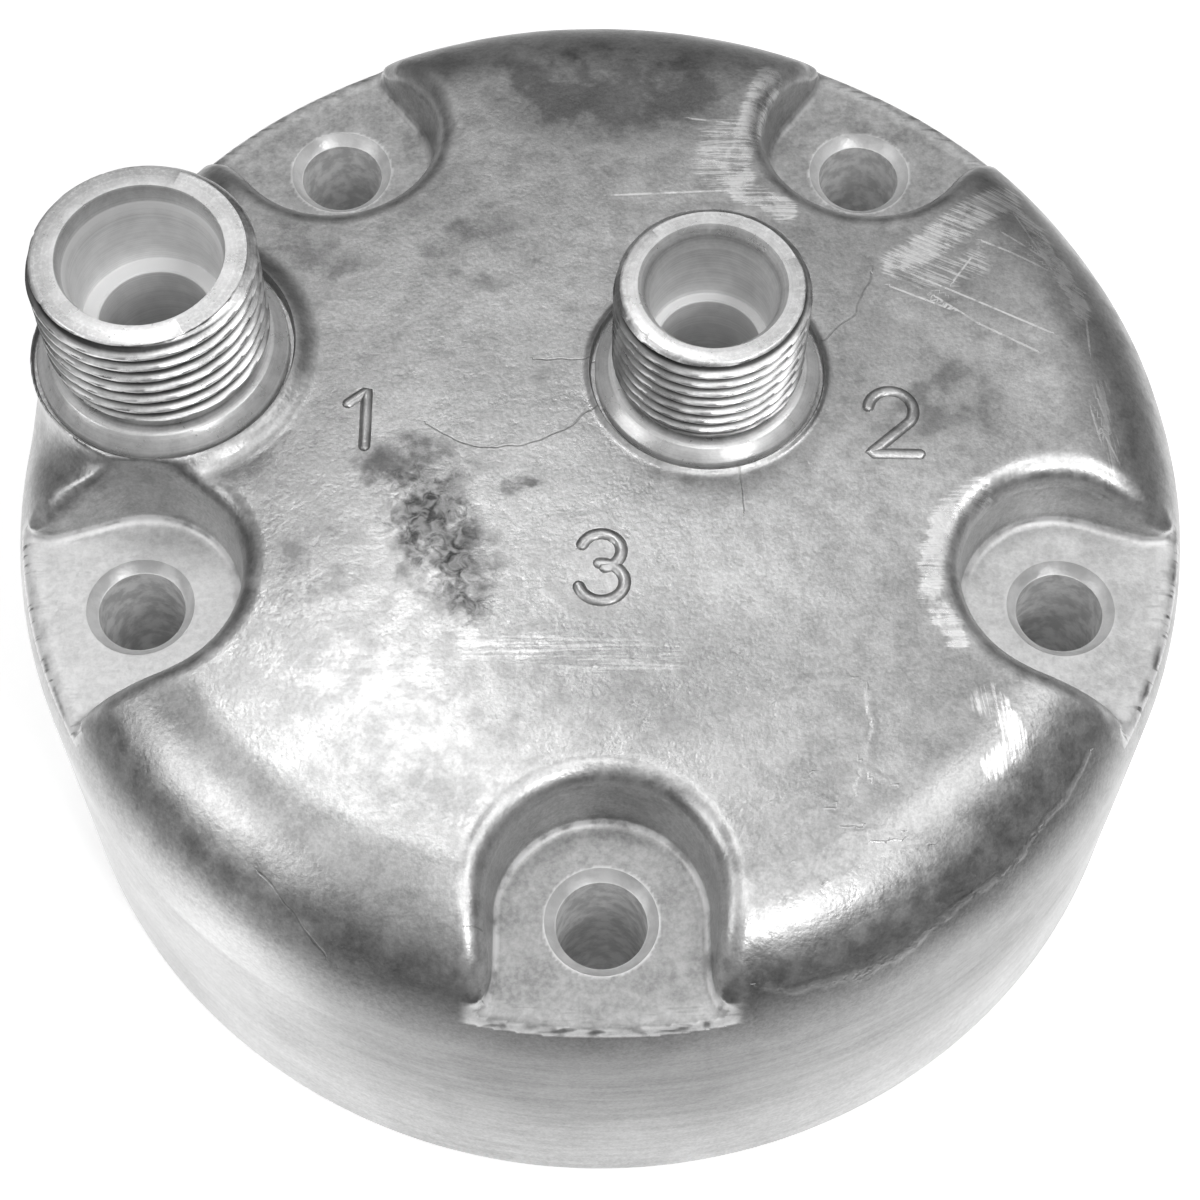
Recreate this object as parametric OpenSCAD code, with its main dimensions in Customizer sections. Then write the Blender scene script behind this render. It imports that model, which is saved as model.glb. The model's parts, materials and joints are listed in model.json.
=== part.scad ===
// Cylinder head of an air conditioning compressor, with the valve stack that sits inside its skirt.
// Millimetres. The head stands on its rim at z = 0, with its axis on the Z axis.

/* [Casting] */
// Diameter of the casting where the side wall meets the shoulder
head_d = 119; // [118:0.5:122]
// How far the side wall leans out from the shoulder down to the rim
wall_lean = 0.4; // [0.2:0.1:1]
// Height of the crown of the dome above the rim
crown_h = 49.4; // [48.8:0.2:51]
// How far the dome falls from its crown to the shoulder
dome_fall = 1.1; // [0.8:0.1:1.4]
// Outside radius of the shoulder
shoulder_r = 14; // [13:0.5:15]
// Thickness of the side wall round the suction chamber
wall_t = 6; // [5.5:0.25:6.5]
// Thickness of the roof over both chambers
roof_t = 5.9; // [5.2:0.1:6.5]
// Inside radius of the corner between the side wall and the roof
roof_corner_r = 8; // [6:0.5:9]
// Thickness of the rim round the valve stack
rim_t = 2.5; // [2.2:0.1:2.8]

/* [Chambers] */
// Inside diameter of the discharge chamber
discharge_chamber_d = 63; // [61:0.5:64]
// Thickness of the wall between the two chambers
chamber_wall_t = 4; // [3:0.25:4.5]
// Inside radius where the chamber wall meets the roof
chamber_corner_r = 3; // [2:0.5:4]

/* [Bolt seats] */
// Diameter of the circle through the five head bolts
bolt_circle_d = 95.7; // [95:0.1:97]
// Diameter of a head bolt hole
bolt_hole_d = 8.6; // [8.2:0.1:9]
// Size of the chamfer at the mouth of a bolt hole
bolt_hole_chamfer = 1; // [0.5:0.1:1.5]
// Diameter of the column round a bolt hole inside the suction chamber
column_d = 16.6; // [15.5:0.1:17]
// Height of the bolt seats above the rim
seat_h = 40.2; // [39.6:0.1:41]
// Width of a bolt seat at its floor
seat_w = 20; // [19:0.5:20.5]
// Lean of a seat's wall, in degrees
seat_draft = 7; // [5:0.5:8]
// Rounding of the upper edge of a seat's wall
seat_edge_r = 2.2; // [1.5:0.1:2.4]
// Fillet between a seat's floor and its wall
seat_fillet_r = 0.8; // [0.5:0.1:1.2]
// Width of a seat at its open outer end
seat_mouth_w = 25; // [23.5:0.5:26]
// Thickness of metal under a seat and round its wall
seat_wall_t = 4.4; // [4:0.1:4.6]

/* [Suction port] */
// Distance of the suction port's axis from the head's axis
suction_port_offset = 44.9; // [44.5:0.1:45.2]
// Direction of the suction port, in degrees from the X axis
suction_port_angle = 167.6; // [166:0.2:168]
// Major diameter of the suction port's thread
suction_thread_d = 22.2; // [21.6:0.1:22.6]
// Height of the suction port's end face above the rim
suction_port_h = 65.4; // [64:0.2:68]
// Height at which the suction port's thread starts
suction_thread_foot_h = 53.2; // [52.6:0.1:54]
// Bore for the hose end's pilot in the suction port
suction_bore_d = 14.6; // [14:0.1:15.2]
// Height of the floor of that bore
suction_bore_floor_h = 54.7; // [54:0.1:56]
// Bore from there down to the suction chamber
suction_passage_d = 11.3; // [10.5:0.1:12]
// Diameter of the collar that seats the suction fitting
suction_collar_d = 25.2; // [24.8:0.1:25.4]
// Height of the suction collar's upper face
suction_collar_h = 51; // [50.6:0.1:51.5]
// Diameter of the shank that holds the suction fitting in the roof
suction_shank_d = 20; // [19:0.1:20.4]

/* [Discharge port] */
// Distance of the discharge port's axis from the head's axis
discharge_port_offset = 12.8; // [12:0.2:14]
// Direction of the discharge port, in degrees from the X axis
discharge_port_angle = 34.5; // [30:0.5:40]
// Major diameter of the discharge port's thread
discharge_thread_d = 19.05; // [18.6:0.05:19.5]
// Height of the discharge port's end face above the rim
discharge_port_h = 63.9; // [62:0.2:66]
// Height at which the discharge port's thread starts
discharge_thread_foot_h = 51.9; // [51.5:0.1:53]
// Bore for the hose end's pilot in the discharge port
discharge_bore_d = 12; // [11.4:0.1:12.6]
// Height of the floor of that bore
discharge_bore_floor_h = 54; // [53:0.1:55]
// Bore from there down to the discharge chamber
discharge_passage_d = 10.2; // [9.4:0.1:10.8]
// Diameter of the collar that seats the discharge fitting
discharge_collar_d = 22.4; // [21.8:0.1:23]
// Height of the discharge collar's upper face
discharge_collar_h = 50.4; // [50.1:0.1:51]
// Diameter of the shank that holds the discharge fitting in the roof
discharge_shank_d = 17.2; // [16:0.1:18]

/* [Both ports] */
// Depth of the chamfer where the thread starts at a port's end face
thread_chamfer = 0.8; // [0.5:0.1:1.2]
// How deep the neck under a thread is cut in
neck_depth = 0.95; // [0.6:0.05:1.1]
// Width of the bevel round a collar
collar_bevel = 1.35; // [1:0.05:1.5]
// How far the mouth of a port's bore is wider than the bore, each side
mouth_widening = 0.95; // [0.7:0.05:1.1]
// Depth of the whole mouth of a port's bore
mouth_depth = 2.7; // [2:0.1:3.2]
// Height of the cast lip round a collar above the rim
lip_h = 49.55; // [49.5:0.05:49.8]
// Depth of the seat that a collar stands in, below the lip
collar_seat_depth = 0.95; // [0.8:0.05:1.2]
// Width of the groove between a collar and the cast lip
collar_groove_w = 0.4; // [0.2:0.05:0.45]
// Width of the cast lip
lip_w = 0.3; // [0.3:0.05:0.5]
// Clearance of a shank in the roof
shank_clearance = 0.05; // [0.03:0.01:0.1]
// How far the hole for a shank runs below the roof
shank_relief = 1.6; // [1.2:0.1:2]

/* [Valve stack] */
// Height of the stack's underside above the rim
stack_lift = 2.5; // [2.4:0.1:3]
// Gap between the stack and the rim round it
stack_clearance = 0.3; // [0.2:0.05:0.5]
// Thickness of the gasket against the cylinder block
cylinder_gasket_t = 0.5; // [0.4:0.05:0.8]
// Thickness of the suction valve disc and its reeds
suction_disc_t = 0.4; // [0.3:0.05:0.5]
// Thickness of the valve plate
valve_plate_t = 3; // [2.5:0.1:4]
// Thickness of the gasket against the casting
head_gasket_t = 0.6; // [0.5:0.05:1]
// Diameter of the bolt holes through the stack
stack_bolt_hole_d = 9; // [8.8:0.1:9.4]
// Diameter of the circle through the cylinders' axes
cylinder_circle_d = 65; // [64:0.5:66]
// Diameter of the gasket's opening over a cylinder
cylinder_opening_d = 35.6; // [35.2:0.1:36.2]
// Diameter of the circle through the suction holes
suction_hole_circle_d = 86; // [85:0.5:87]
// Diameter of a suction hole
suction_hole_d = 8; // [7:0.2:9]
// Diameter of the circle through the discharge holes
discharge_hole_circle_d = 46; // [45:0.5:47]
// Diameter of a discharge hole
discharge_hole_d = 8; // [7:0.2:9]
// Width of a gasket bridge beside a bolt hole
gasket_bridge_w = 5; // [4:0.5:7]

/* [Locating pins] */
// Diameter of a locating pin
pin_d = 4; // [3.5:0.1:4.2]
// Diameter of the circle through the two pins
pin_circle_d = 102; // [101:0.5:103]
// Direction of the first pin, in degrees from the X axis
pin_angle = 108; // [107:0.5:109]
// How deep a pin sits in the casting
pin_depth = 7; // [5:0.5:9]
// How high a pin's lower end stays above the rim
pin_foot_h = 0.8; // [0.6:0.1:1.2]
// Clearance of a pin in its holes
pin_clearance = 0.04; // [0.02:0.01:0.08]
// Chamfer at the ends of a pin
pin_chamfer = 0.4; // [0.2:0.1:0.6]
// Thickness of metal round a pin
pin_boss_t = 2.5; // [2:0.1:3]

/* [Discharge valve] */
// Thickness of the discharge reeds and their hub
discharge_reed_t = 0.4; // [0.3:0.05:0.5]
// Distance of a discharge reed's root from the axis
discharge_root_x = 9.1; // [8.9:0.1:9.6]
// Width of a discharge reed at its root
discharge_root_w = 7; // [6:0.5:8]
// Diameter of a discharge reed's round end
discharge_tip_d = 11.6; // [11:0.2:12.4]
// Gap between a reed's root and what carries it
root_gap = 0.1; // [0.08:0.01:0.12]
// Diameter of the discharge valve's hub
hub_d = 20; // [19.6:0.2:21]
// Thickness of the retainer over the discharge reeds
retainer_t = 1.5; // [1.2:0.1:2]
// Slope of the retainer's arms, in degrees
retainer_slope = 6; // [6:0.5:8]
// Distance from the axis at which the retainer's arms start to rise
retainer_ramp_x = 8.4; // [8:0.1:8.5]
// Width of a retainer arm
retainer_arm_w = 8.4; // [7.5:0.1:9.5]
// Distance of a retainer arm's end from the axis
retainer_reach = 28.6; // [28:0.2:29.4]

/* [Retainer bolt] */
// Diameter of the bolt that holds the retainer
retainer_bolt_d = 6; // [5:0.5:6.4]
// Clearance round that bolt
retainer_bolt_clearance = 0.1; // [0.05:0.05:0.2]
// Width across the flats of its head and nut
retainer_hex_w = 10; // [9:0.5:11]
// Height of the bolt's low head
retainer_head_t = 2.3; // [2:0.1:2.3]
// Height of the nut
retainer_nut_t = 5; // [4:0.5:6]
// How far the bolt stands out of its nut
retainer_bolt_end = 1.5; // [1:0.25:3]
// Thickness of the lock washer
washer_t = 1.4; // [1:0.1:1.6]
// Outside diameter of the lock washer
washer_d = 10.6; // [9:0.2:11]
// Width of the split in the lock washer
washer_split = 1; // [0.5:0.1:1.5]

/* [Suction valve] */
// Distance of a suction reed's root from the axis
suction_root_x = 17; // [16.8:0.1:17.4]
// Width of a suction reed at its root
suction_root_w = 14; // [13:0.2:14.4]
// Diameter of a suction reed's round end
suction_tip_d = 13; // [12:0.2:13.6]
// Distance of a suction reed's end from the axis
suction_reach = 48.5; // [48:0.1:48.8]
// Width of the slot round a suction reed
suction_slot_w = 0.8; // [0.6:0.05:1]
// Opening in a suction reed that leaves the discharge hole free
suction_reed_port_d = 9.6; // [9.2:0.1:10]

/* [Hidden] */
$fn = 120;

cylinder_count = 5;
step_angle = 360 / cylinder_count;
bolt_angles = [for (i = [0 : cylinder_count - 1]) -90 + i * step_angle];
cylinder_angles = [for (i = [0 : cylinder_count - 1]) -90 + (i + 0.5) * step_angle];
pin_angles = [pin_angle, pin_angle + 180];
// How far a cutting shape runs past the metal that it cuts
overrun = 1;

head_r = head_d / 2;
rim_r = head_r + wall_lean;
shoulder_x = head_r - shoulder_r;
shoulder_z = crown_h - shoulder_r - dome_fall;
dome_r = shoulder_r + (pow(shoulder_x, 2) + pow(dome_fall, 2)) / (2 * dome_fall);
dome_z = crown_h - dome_r;
dome_faces = 1440;
recess_r = head_r - rim_t;
stack_r = recess_r - stack_clearance;
chamber_outer_r = head_r - wall_t;
chamber_inner_r = discharge_chamber_d / 2 + chamber_wall_t;
ceiling_z = crown_h - roof_t;

cylinder_gasket_z = stack_lift;
suction_disc_z = cylinder_gasket_z + cylinder_gasket_t;
plate_z = suction_disc_z + suction_disc_t;
plate_top_z = plate_z + valve_plate_t;
gasket_face_z = plate_top_z + head_gasket_t;

bolt_circle_r = bolt_circle_d / 2;
seat_r = seat_w / 2;
seat_apex_x = bolt_circle_r - seat_r;
// The dome's height over the inner end of a seat, where the seat's upper edge lies
seat_top_z = dome_z + sqrt(pow(dome_r, 2) - pow(seat_apex_x, 2));
seat_round_z = seat_top_z - seat_edge_r + seat_edge_r * sin(seat_draft);
seat_round_x = seat_wall_x(seat_round_z) + seat_edge_r * cos(seat_draft);
seat_fillet_x = seat_wall_x(seat_h + seat_fillet_r * (1 - sin(seat_draft))) - seat_fillet_r * cos(seat_draft);
seat_length = rim_r - bolt_circle_r + overrun;

collar_seat_z = lip_h - collar_seat_depth;
hub_z = plate_top_z;
retainer_z = hub_z + discharge_reed_t;
washer_z = retainer_z + retainer_t;
nut_z = washer_z + washer_t;
head_opening_d = retainer_hex_w / cos(30) + 2 * stack_clearance;
discharge_tip_x = discharge_hole_circle_d / 2;
suction_tip_x = suction_reach - suction_tip_d / 2;

// Half width of a bolt seat at height z, for its leaning wall
function seat_wall_x(z) = seat_r + (z - seat_h) * tan(seat_draft);

// Copies of a shape that lies on the X axis, turned to the given angles
module turned_to(angles) {
  for (a = angles) rotate(a) children();
}

// Corner of a square outside a quarter circle of radius r in two straight steps, with its centre at the origin
module outside_corner(r) {
  difference() {
    square(r + overrun);
    polygon([[0, 0], [r, 0], [r * cos(45), r * sin(45)], [0, r]]);
  }
}

// Half section of the casting's outside
module casting_profile() {
  reach_share = 1.01;
  tangent_share = dome_r / (dome_r - shoulder_r);
  square([shoulder_x, shoulder_z]);
  polygon([[0, 0], [rim_r, 0], [head_r, shoulder_z], [0, shoulder_z]]);
  intersection() {
    translate([0, dome_z]) circle(dome_r, $fn = dome_faces);
    polygon([
      [0, shoulder_z], [shoulder_x, shoulder_z],
      [
        shoulder_x * tangent_share * reach_share,
        dome_z + (shoulder_z - dome_z) * tangent_share * reach_share
      ],
      [0, dome_z + dome_r * reach_share]
    ]);
  }
  intersection() {
    translate([shoulder_x, shoulder_z]) circle(shoulder_r);
    translate([shoulder_x, shoulder_z]) square(shoulder_r + overrun);
  }
}

// Half section of a bolt seat, about the bolt's axis
module seat_profile() {
  difference() {
    polygon([
      [0, seat_h], [seat_r, seat_h], [seat_wall_x(seat_top_z), seat_top_z], [0, seat_top_z]
    ]);
    difference() {
      polygon([
        [seat_fillet_x, seat_h], [seat_r, seat_h],
        [seat_fillet_x + seat_fillet_r * cos(seat_draft), seat_h + seat_fillet_r * (1 - sin(seat_draft))],
        [seat_fillet_x, seat_h + seat_fillet_r]
      ]);
      translate([seat_fillet_x, seat_h + seat_fillet_r]) circle(seat_fillet_r);
    }
  }
  difference() {
    polygon([
      [seat_wall_x(seat_round_z), seat_round_z], [seat_wall_x(seat_top_z), seat_top_z],
      [seat_round_x, seat_top_z], [seat_round_x, seat_top_z - seat_edge_r]
    ]);
    translate([seat_round_x, seat_top_z - seat_edge_r]) circle(seat_edge_r);
  }
  translate([0, seat_top_z]) square([seat_round_x, crown_h - seat_top_z + overrun]);
}

// Space over one bolt seat, open to the outside
module seat_space() {
  translate([bolt_circle_r, 0, 0]) {
    rotate_extrude() seat_profile();
    rotate([90, 0, 90]) linear_extrude(seat_length) {
      seat_profile();
      mirror([1, 0]) seat_profile();
    }
    translate([0, 0, seat_h]) linear_extrude(crown_h - seat_h) polygon([
      [seat_length / 2, -seat_r], [seat_length, -seat_mouth_w / 2],
      [seat_length, seat_mouth_w / 2], [seat_length / 2, seat_r]
    ]);
  }
}

// Metal that a bolt seat and its column keep inside the suction chamber
module seat_metal() {
  metal_w = seat_w + 2 * seat_wall_t;
  translate([bolt_circle_r, 0, 0]) {
    cylinder(h = crown_h, d = column_d);
    translate([0, 0, seat_h - seat_wall_t]) {
      cylinder(h = crown_h - seat_h + seat_wall_t, d = metal_w);
      translate([0, -metal_w / 2, 0]) cube([seat_length, metal_w, crown_h - seat_h + seat_wall_t]);
    }
  }
}

module bolt_hole() {
  translate([bolt_circle_r, 0, 0]) {
    cylinder(h = seat_h + overrun, d = bolt_hole_d);
    translate([0, 0, seat_h - bolt_hole_chamfer])
      cylinder(h = 2 * bolt_hole_chamfer, d1 = bolt_hole_d, d2 = bolt_hole_d + 4 * bolt_hole_chamfer);
  }
}

// Ring space between the side wall and the chamber wall, interrupted by the bolt seats and pin bosses
module suction_chamber() {
  difference() {
    rotate_extrude() difference() {
      translate([chamber_inner_r, gasket_face_z - overrun])
        square([chamber_outer_r - chamber_inner_r, ceiling_z - gasket_face_z + overrun]);
      translate([chamber_outer_r - roof_corner_r, ceiling_z - roof_corner_r]) outside_corner(roof_corner_r);
      translate([chamber_inner_r + chamber_corner_r, ceiling_z - chamber_corner_r])
        mirror([1, 0]) outside_corner(chamber_corner_r);
    }
    turned_to(bolt_angles) seat_metal();
    turned_to(pin_angles) translate([pin_circle_d / 2, 0, 0])
      cylinder(h = gasket_face_z + pin_depth + 2 * pin_boss_t, d = pin_d + 2 * pin_boss_t);
  }
}

module discharge_chamber() {
  rotate_extrude() difference() {
    translate([0, gasket_face_z - overrun])
      square([discharge_chamber_d / 2, ceiling_z - gasket_face_z + overrun]);
    translate([discharge_chamber_d / 2 - chamber_corner_r, ceiling_z - chamber_corner_r])
      outside_corner(chamber_corner_r);
  }
}

// Cast boss and lip that hold a fitting's collar
module port_boss(offset, angle, collar_d) {
  rotate(angle) translate([offset, 0, shoulder_z])
    cylinder(h = lip_h - shoulder_z, d = collar_d + 2 * (collar_groove_w + lip_w));
}

// Seat and hole for a fitting, down into its chamber
module port_seat(offset, angle, collar_d, shank_d) {
  rotate(angle) translate([offset, 0, 0]) {
    translate([0, 0, collar_seat_z])
      cylinder(h = collar_seat_depth + overrun, d = collar_d + 2 * collar_groove_w);
    translate([0, 0, ceiling_z - shank_relief])
      cylinder(h = roof_t + shank_relief, d = shank_d + 2 * shank_clearance);
  }
}

module head_casting() {
  color("gainsboro") difference() {
    union() {
      difference() {
        rotate_extrude() casting_profile();
        turned_to(bolt_angles) seat_space();
      }
      port_boss(suction_port_offset, suction_port_angle, suction_collar_d);
      port_boss(discharge_port_offset, discharge_port_angle, discharge_collar_d);
    }
    translate([0, 0, -overrun]) cylinder(h = gasket_face_z + overrun, r = recess_r);
    discharge_chamber();
    suction_chamber();
    turned_to(bolt_angles) bolt_hole();
    turned_to(pin_angles) translate([pin_circle_d / 2, 0, 0])
      cylinder(h = gasket_face_z + pin_depth + pin_clearance, d = pin_d + 2 * pin_clearance);
    port_seat(suction_port_offset, suction_port_angle, suction_collar_d, suction_shank_d);
    port_seat(discharge_port_offset, discharge_port_angle, discharge_collar_d, discharge_shank_d);
  }
}

// Turned fitting: threaded barrel, neck, bevelled collar and shank round a stepped bore
module port_fitting(thread_d, end_h, thread_foot_h, collar_d, collar_h, shank_d, bore_d, bore_floor_h, passage_d) {
  thread_r = thread_d / 2;
  neck_r = thread_r - neck_depth;
  bore_r = bore_d / 2;
  collar_edge_h = lip_h;
  rotate_extrude() polygon([
    [passage_d / 2, ceiling_z], [shank_d / 2, ceiling_z], [shank_d / 2, collar_seat_z],
    [collar_d / 2, collar_seat_z], [collar_d / 2, collar_edge_h], [collar_d / 2 - collar_bevel, collar_h],
    [neck_r, collar_h], [neck_r, thread_foot_h - neck_depth], [thread_r, thread_foot_h],
    [thread_r, end_h - thread_chamfer], [thread_r - thread_chamfer, end_h],
    [bore_r + mouth_widening, end_h], [bore_r + mouth_widening / 2, end_h - mouth_depth / 2],
    [bore_r, end_h - mouth_depth], [bore_r, bore_floor_h], [passage_d / 2, bore_floor_h]
  ]);
}

module suction_port_fitting() {
  color("silver") rotate(suction_port_angle) translate([suction_port_offset, 0, 0])
    port_fitting(
      suction_thread_d, suction_port_h, suction_thread_foot_h, suction_collar_d, suction_collar_h,
      suction_shank_d, suction_bore_d, suction_bore_floor_h, suction_passage_d
    );
}

module discharge_port_fitting() {
  color("silver") rotate(discharge_port_angle) translate([discharge_port_offset, 0, 0])
    port_fitting(
      discharge_thread_d, discharge_port_h, discharge_thread_foot_h, discharge_collar_d,
      discharge_collar_h, discharge_shank_d, discharge_bore_d, discharge_bore_floor_h,
      discharge_passage_d
    );
}

module locating_pins() {
  pin_r = pin_d / 2;
  pin_top_z = gasket_face_z + pin_depth;
  color("lightsteelblue") turned_to(pin_angles) translate([pin_circle_d / 2, 0, 0])
    rotate_extrude() polygon([
      [0, pin_foot_h], [pin_r - pin_chamfer, pin_foot_h], [pin_r, pin_foot_h + pin_chamfer],
      [pin_r, pin_top_z - pin_chamfer], [pin_r - pin_chamfer, pin_top_z], [0, pin_top_z]
    ]);
}

// Outline shared by every layer of the stack, with its bolt and pin holes
module stack_outline() {
  difference() {
    circle(stack_r);
    turned_to(bolt_angles) translate([bolt_circle_r, 0]) circle(d = stack_bolt_hole_d);
    turned_to(pin_angles) translate([pin_circle_d / 2, 0]) circle(d = pin_d + 2 * pin_clearance);
  }
}

// Windows of the head gasket over the suction chamber
module suction_windows() {
  difference() {
    circle(chamber_outer_r);
    circle(chamber_inner_r);
    turned_to(bolt_angles) {
      translate([bolt_circle_r, 0]) circle(d = column_d);
      translate([discharge_chamber_d / 2, -gasket_bridge_w / 2])
        square([bolt_circle_r - discharge_chamber_d / 2, gasket_bridge_w]);
    }
    turned_to(pin_angles) translate([pin_circle_d / 2, 0]) circle(d = pin_d + 2 * pin_boss_t);
  }
}

module head_gasket() {
  color("dimgray") translate([0, 0, plate_top_z]) linear_extrude(head_gasket_t) difference() {
    stack_outline();
    circle(d = discharge_chamber_d);
    suction_windows();
  }
}

module valve_plate() {
  color("lightslategray") translate([0, 0, plate_z]) linear_extrude(valve_plate_t) difference() {
    stack_outline();
    circle(d = retainer_bolt_d + 2 * retainer_bolt_clearance);
    turned_to(cylinder_angles) {
      translate([discharge_hole_circle_d / 2, 0]) circle(d = discharge_hole_d);
      translate([suction_hole_circle_d / 2, 0]) circle(d = suction_hole_d);
    }
  }
}

module discharge_valve_hub() {
  color("steelblue") translate([0, 0, hub_z]) linear_extrude(discharge_reed_t) difference() {
    circle(d = hub_d);
    circle(d = retainer_bolt_d + 2 * retainer_bolt_clearance);
    turned_to(cylinder_angles) translate([discharge_root_x - root_gap, -hub_d / 2]) square(hub_d);
  }
}

// Tapered tongue from its root to a round end
module reed_outline(root_x, root_w, tip_x, tip_d) {
  polygon([[root_x, -root_w / 2], [tip_x, -tip_d / 2], [tip_x, tip_d / 2], [root_x, root_w / 2]]);
  translate([tip_x, 0]) circle(d = tip_d);
}

module discharge_reed(i) {
  color("slategray") rotate(cylinder_angles[i]) translate([0, 0, hub_z]) linear_extrude(discharge_reed_t)
    reed_outline(discharge_root_x, discharge_root_w, discharge_tip_x, discharge_tip_d);
}

module valve_retainer() {
  rise = (retainer_reach - retainer_ramp_x) * tan(retainer_slope);
  bore_r = retainer_bolt_d / 2 + retainer_bolt_clearance;
  arm_r = retainer_arm_w / 2;
  color("darkgray") intersection() {
    rotate_extrude() polygon([
      [bore_r, retainer_z], [retainer_ramp_x, retainer_z], [retainer_reach, retainer_z + rise],
      [retainer_reach, retainer_z + rise + retainer_t], [retainer_ramp_x, retainer_z + retainer_t],
      [bore_r, retainer_z + retainer_t]
    ]);
    translate([0, 0, retainer_z - overrun]) linear_extrude(rise + retainer_t + 2 * overrun) {
      circle(d = hub_d);
      turned_to(cylinder_angles) {
        translate([0, -arm_r]) square([retainer_reach - arm_r, retainer_arm_w]);
        translate([retainer_reach - arm_r, 0]) circle(arm_r);
      }
    }
  }
}

module retainer_bolt() {
  bolt_top_z = nut_z + retainer_nut_t + retainer_bolt_end;
  color("dimgray") {
    translate([0, 0, plate_z]) cylinder(h = bolt_top_z - plate_z, d = retainer_bolt_d);
    translate([0, 0, plate_z - retainer_head_t])
      cylinder(h = retainer_head_t, d = retainer_hex_w / cos(30), $fn = 6);
  }
}

module lock_washer() {
  inner_r = retainer_bolt_d / 2 + retainer_bolt_clearance;
  color("gray") translate([0, 0, washer_z]) linear_extrude(washer_t) difference() {
    circle(d = washer_d);
    circle(inner_r);
    translate([0, -washer_split / 2]) square([washer_d, washer_split]);
  }
}

module retainer_nut() {
  corner_r = retainer_hex_w / 2 / cos(30);
  flat_r = retainer_hex_w / 2;
  edge_drop = (corner_r - flat_r) * tan(30);
  color("dimgray") translate([0, 0, nut_z]) difference() {
    intersection() {
      cylinder(h = retainer_nut_t, r = corner_r, $fn = 6);
      rotate_extrude() polygon([
        [0, 0], [flat_r, 0], [corner_r, edge_drop], [corner_r, retainer_nut_t - edge_drop],
        [flat_r, retainer_nut_t], [0, retainer_nut_t]
      ]);
    }
    translate([0, 0, -overrun])
      cylinder(h = retainer_nut_t + 2 * overrun, d = retainer_bolt_d + 2 * retainer_bolt_clearance);
  }
}

module suction_valve_disc() {
  color("slategray") translate([0, 0, suction_disc_z]) linear_extrude(suction_disc_t) difference() {
    stack_outline();
    circle(d = head_opening_d);
    turned_to(cylinder_angles) reed_outline(
      suction_root_x - root_gap, suction_root_w + 2 * suction_slot_w,
      suction_tip_x, suction_tip_d + 2 * suction_slot_w
    );
  }
}

module suction_reed(i) {
  color("lightsteelblue") rotate(cylinder_angles[i]) translate([0, 0, suction_disc_z])
    linear_extrude(suction_disc_t) difference() {
      reed_outline(suction_root_x, suction_root_w, suction_tip_x, suction_tip_d);
      translate([discharge_hole_circle_d / 2, 0]) circle(d = suction_reed_port_d);
    }
}

module cylinder_gasket() {
  color("darkslategray") translate([0, 0, cylinder_gasket_z]) linear_extrude(cylinder_gasket_t) difference() {
    stack_outline();
    circle(d = head_opening_d);
    turned_to(cylinder_angles) translate([cylinder_circle_d / 2, 0]) circle(d = cylinder_opening_d);
  }
}

head_casting();
suction_port_fitting();
discharge_port_fitting();
locating_pins();
head_gasket();
valve_plate();
discharge_valve_hub();
discharge_reed(0);  // discharge_reed_1
discharge_reed(1);  // discharge_reed_2
discharge_reed(2);  // discharge_reed_3
discharge_reed(3);  // discharge_reed_4
discharge_reed(4);  // discharge_reed_5
valve_retainer();
retainer_bolt();
lock_washer();
retainer_nut();
suction_valve_disc();
suction_reed(0);  // suction_reed_1
suction_reed(1);  // suction_reed_2
suction_reed(2);  // suction_reed_3
suction_reed(3);  // suction_reed_4
suction_reed(4);  // suction_reed_5
cylinder_gasket();
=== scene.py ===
"""Air conditioning compressor head: the looks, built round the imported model.

Lengths in the mesh code are millimetres."""
import json
import math

import bpy
import numpy as np
from mathutils import Matrix, Vector


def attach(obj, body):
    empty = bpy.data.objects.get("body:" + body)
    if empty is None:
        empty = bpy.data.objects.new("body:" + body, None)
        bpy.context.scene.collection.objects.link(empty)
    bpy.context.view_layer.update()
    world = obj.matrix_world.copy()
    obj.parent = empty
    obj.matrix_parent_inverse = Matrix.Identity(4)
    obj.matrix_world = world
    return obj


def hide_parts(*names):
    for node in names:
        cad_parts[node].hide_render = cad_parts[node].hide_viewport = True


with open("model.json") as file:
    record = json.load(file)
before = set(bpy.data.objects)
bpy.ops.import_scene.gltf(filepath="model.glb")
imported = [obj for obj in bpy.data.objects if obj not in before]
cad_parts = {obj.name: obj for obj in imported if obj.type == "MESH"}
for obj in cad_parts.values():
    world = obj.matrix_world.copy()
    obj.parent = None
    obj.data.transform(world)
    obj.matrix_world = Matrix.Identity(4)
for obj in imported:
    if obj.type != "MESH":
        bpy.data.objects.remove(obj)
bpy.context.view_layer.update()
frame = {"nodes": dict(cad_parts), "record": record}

MM = 0.001

# Main sizes, as in the CAD source
BOLT_R = 47.85
BOLT_ANGLES = (-90.0, -18.0, 54.0, 126.0, 198.0)
SEAT_Z = 40.2
SEAT_HALF = 10.0
DRAFT = math.radians(7)
DOME_R = 955.6
CROWN_Z = 49.4
SHOULDER_R = 14.0
SHOULDER_X = 45.5
SHOULDER_Z = 34.3
WALL_X = 59.5
LEAN = math.atan(0.4 / SHOULDER_Z)
# How far a seat's mouth widens, from where, and over what length
FLARE, FLARE_FROM, FLARE_LENGTH = 2.35, 5.2, 5
SEAT_FILLET = 0.85
HOLE_R = 4.3
CHAMFER_R, CHAMFER_Z = 5.45, 39.15
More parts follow.
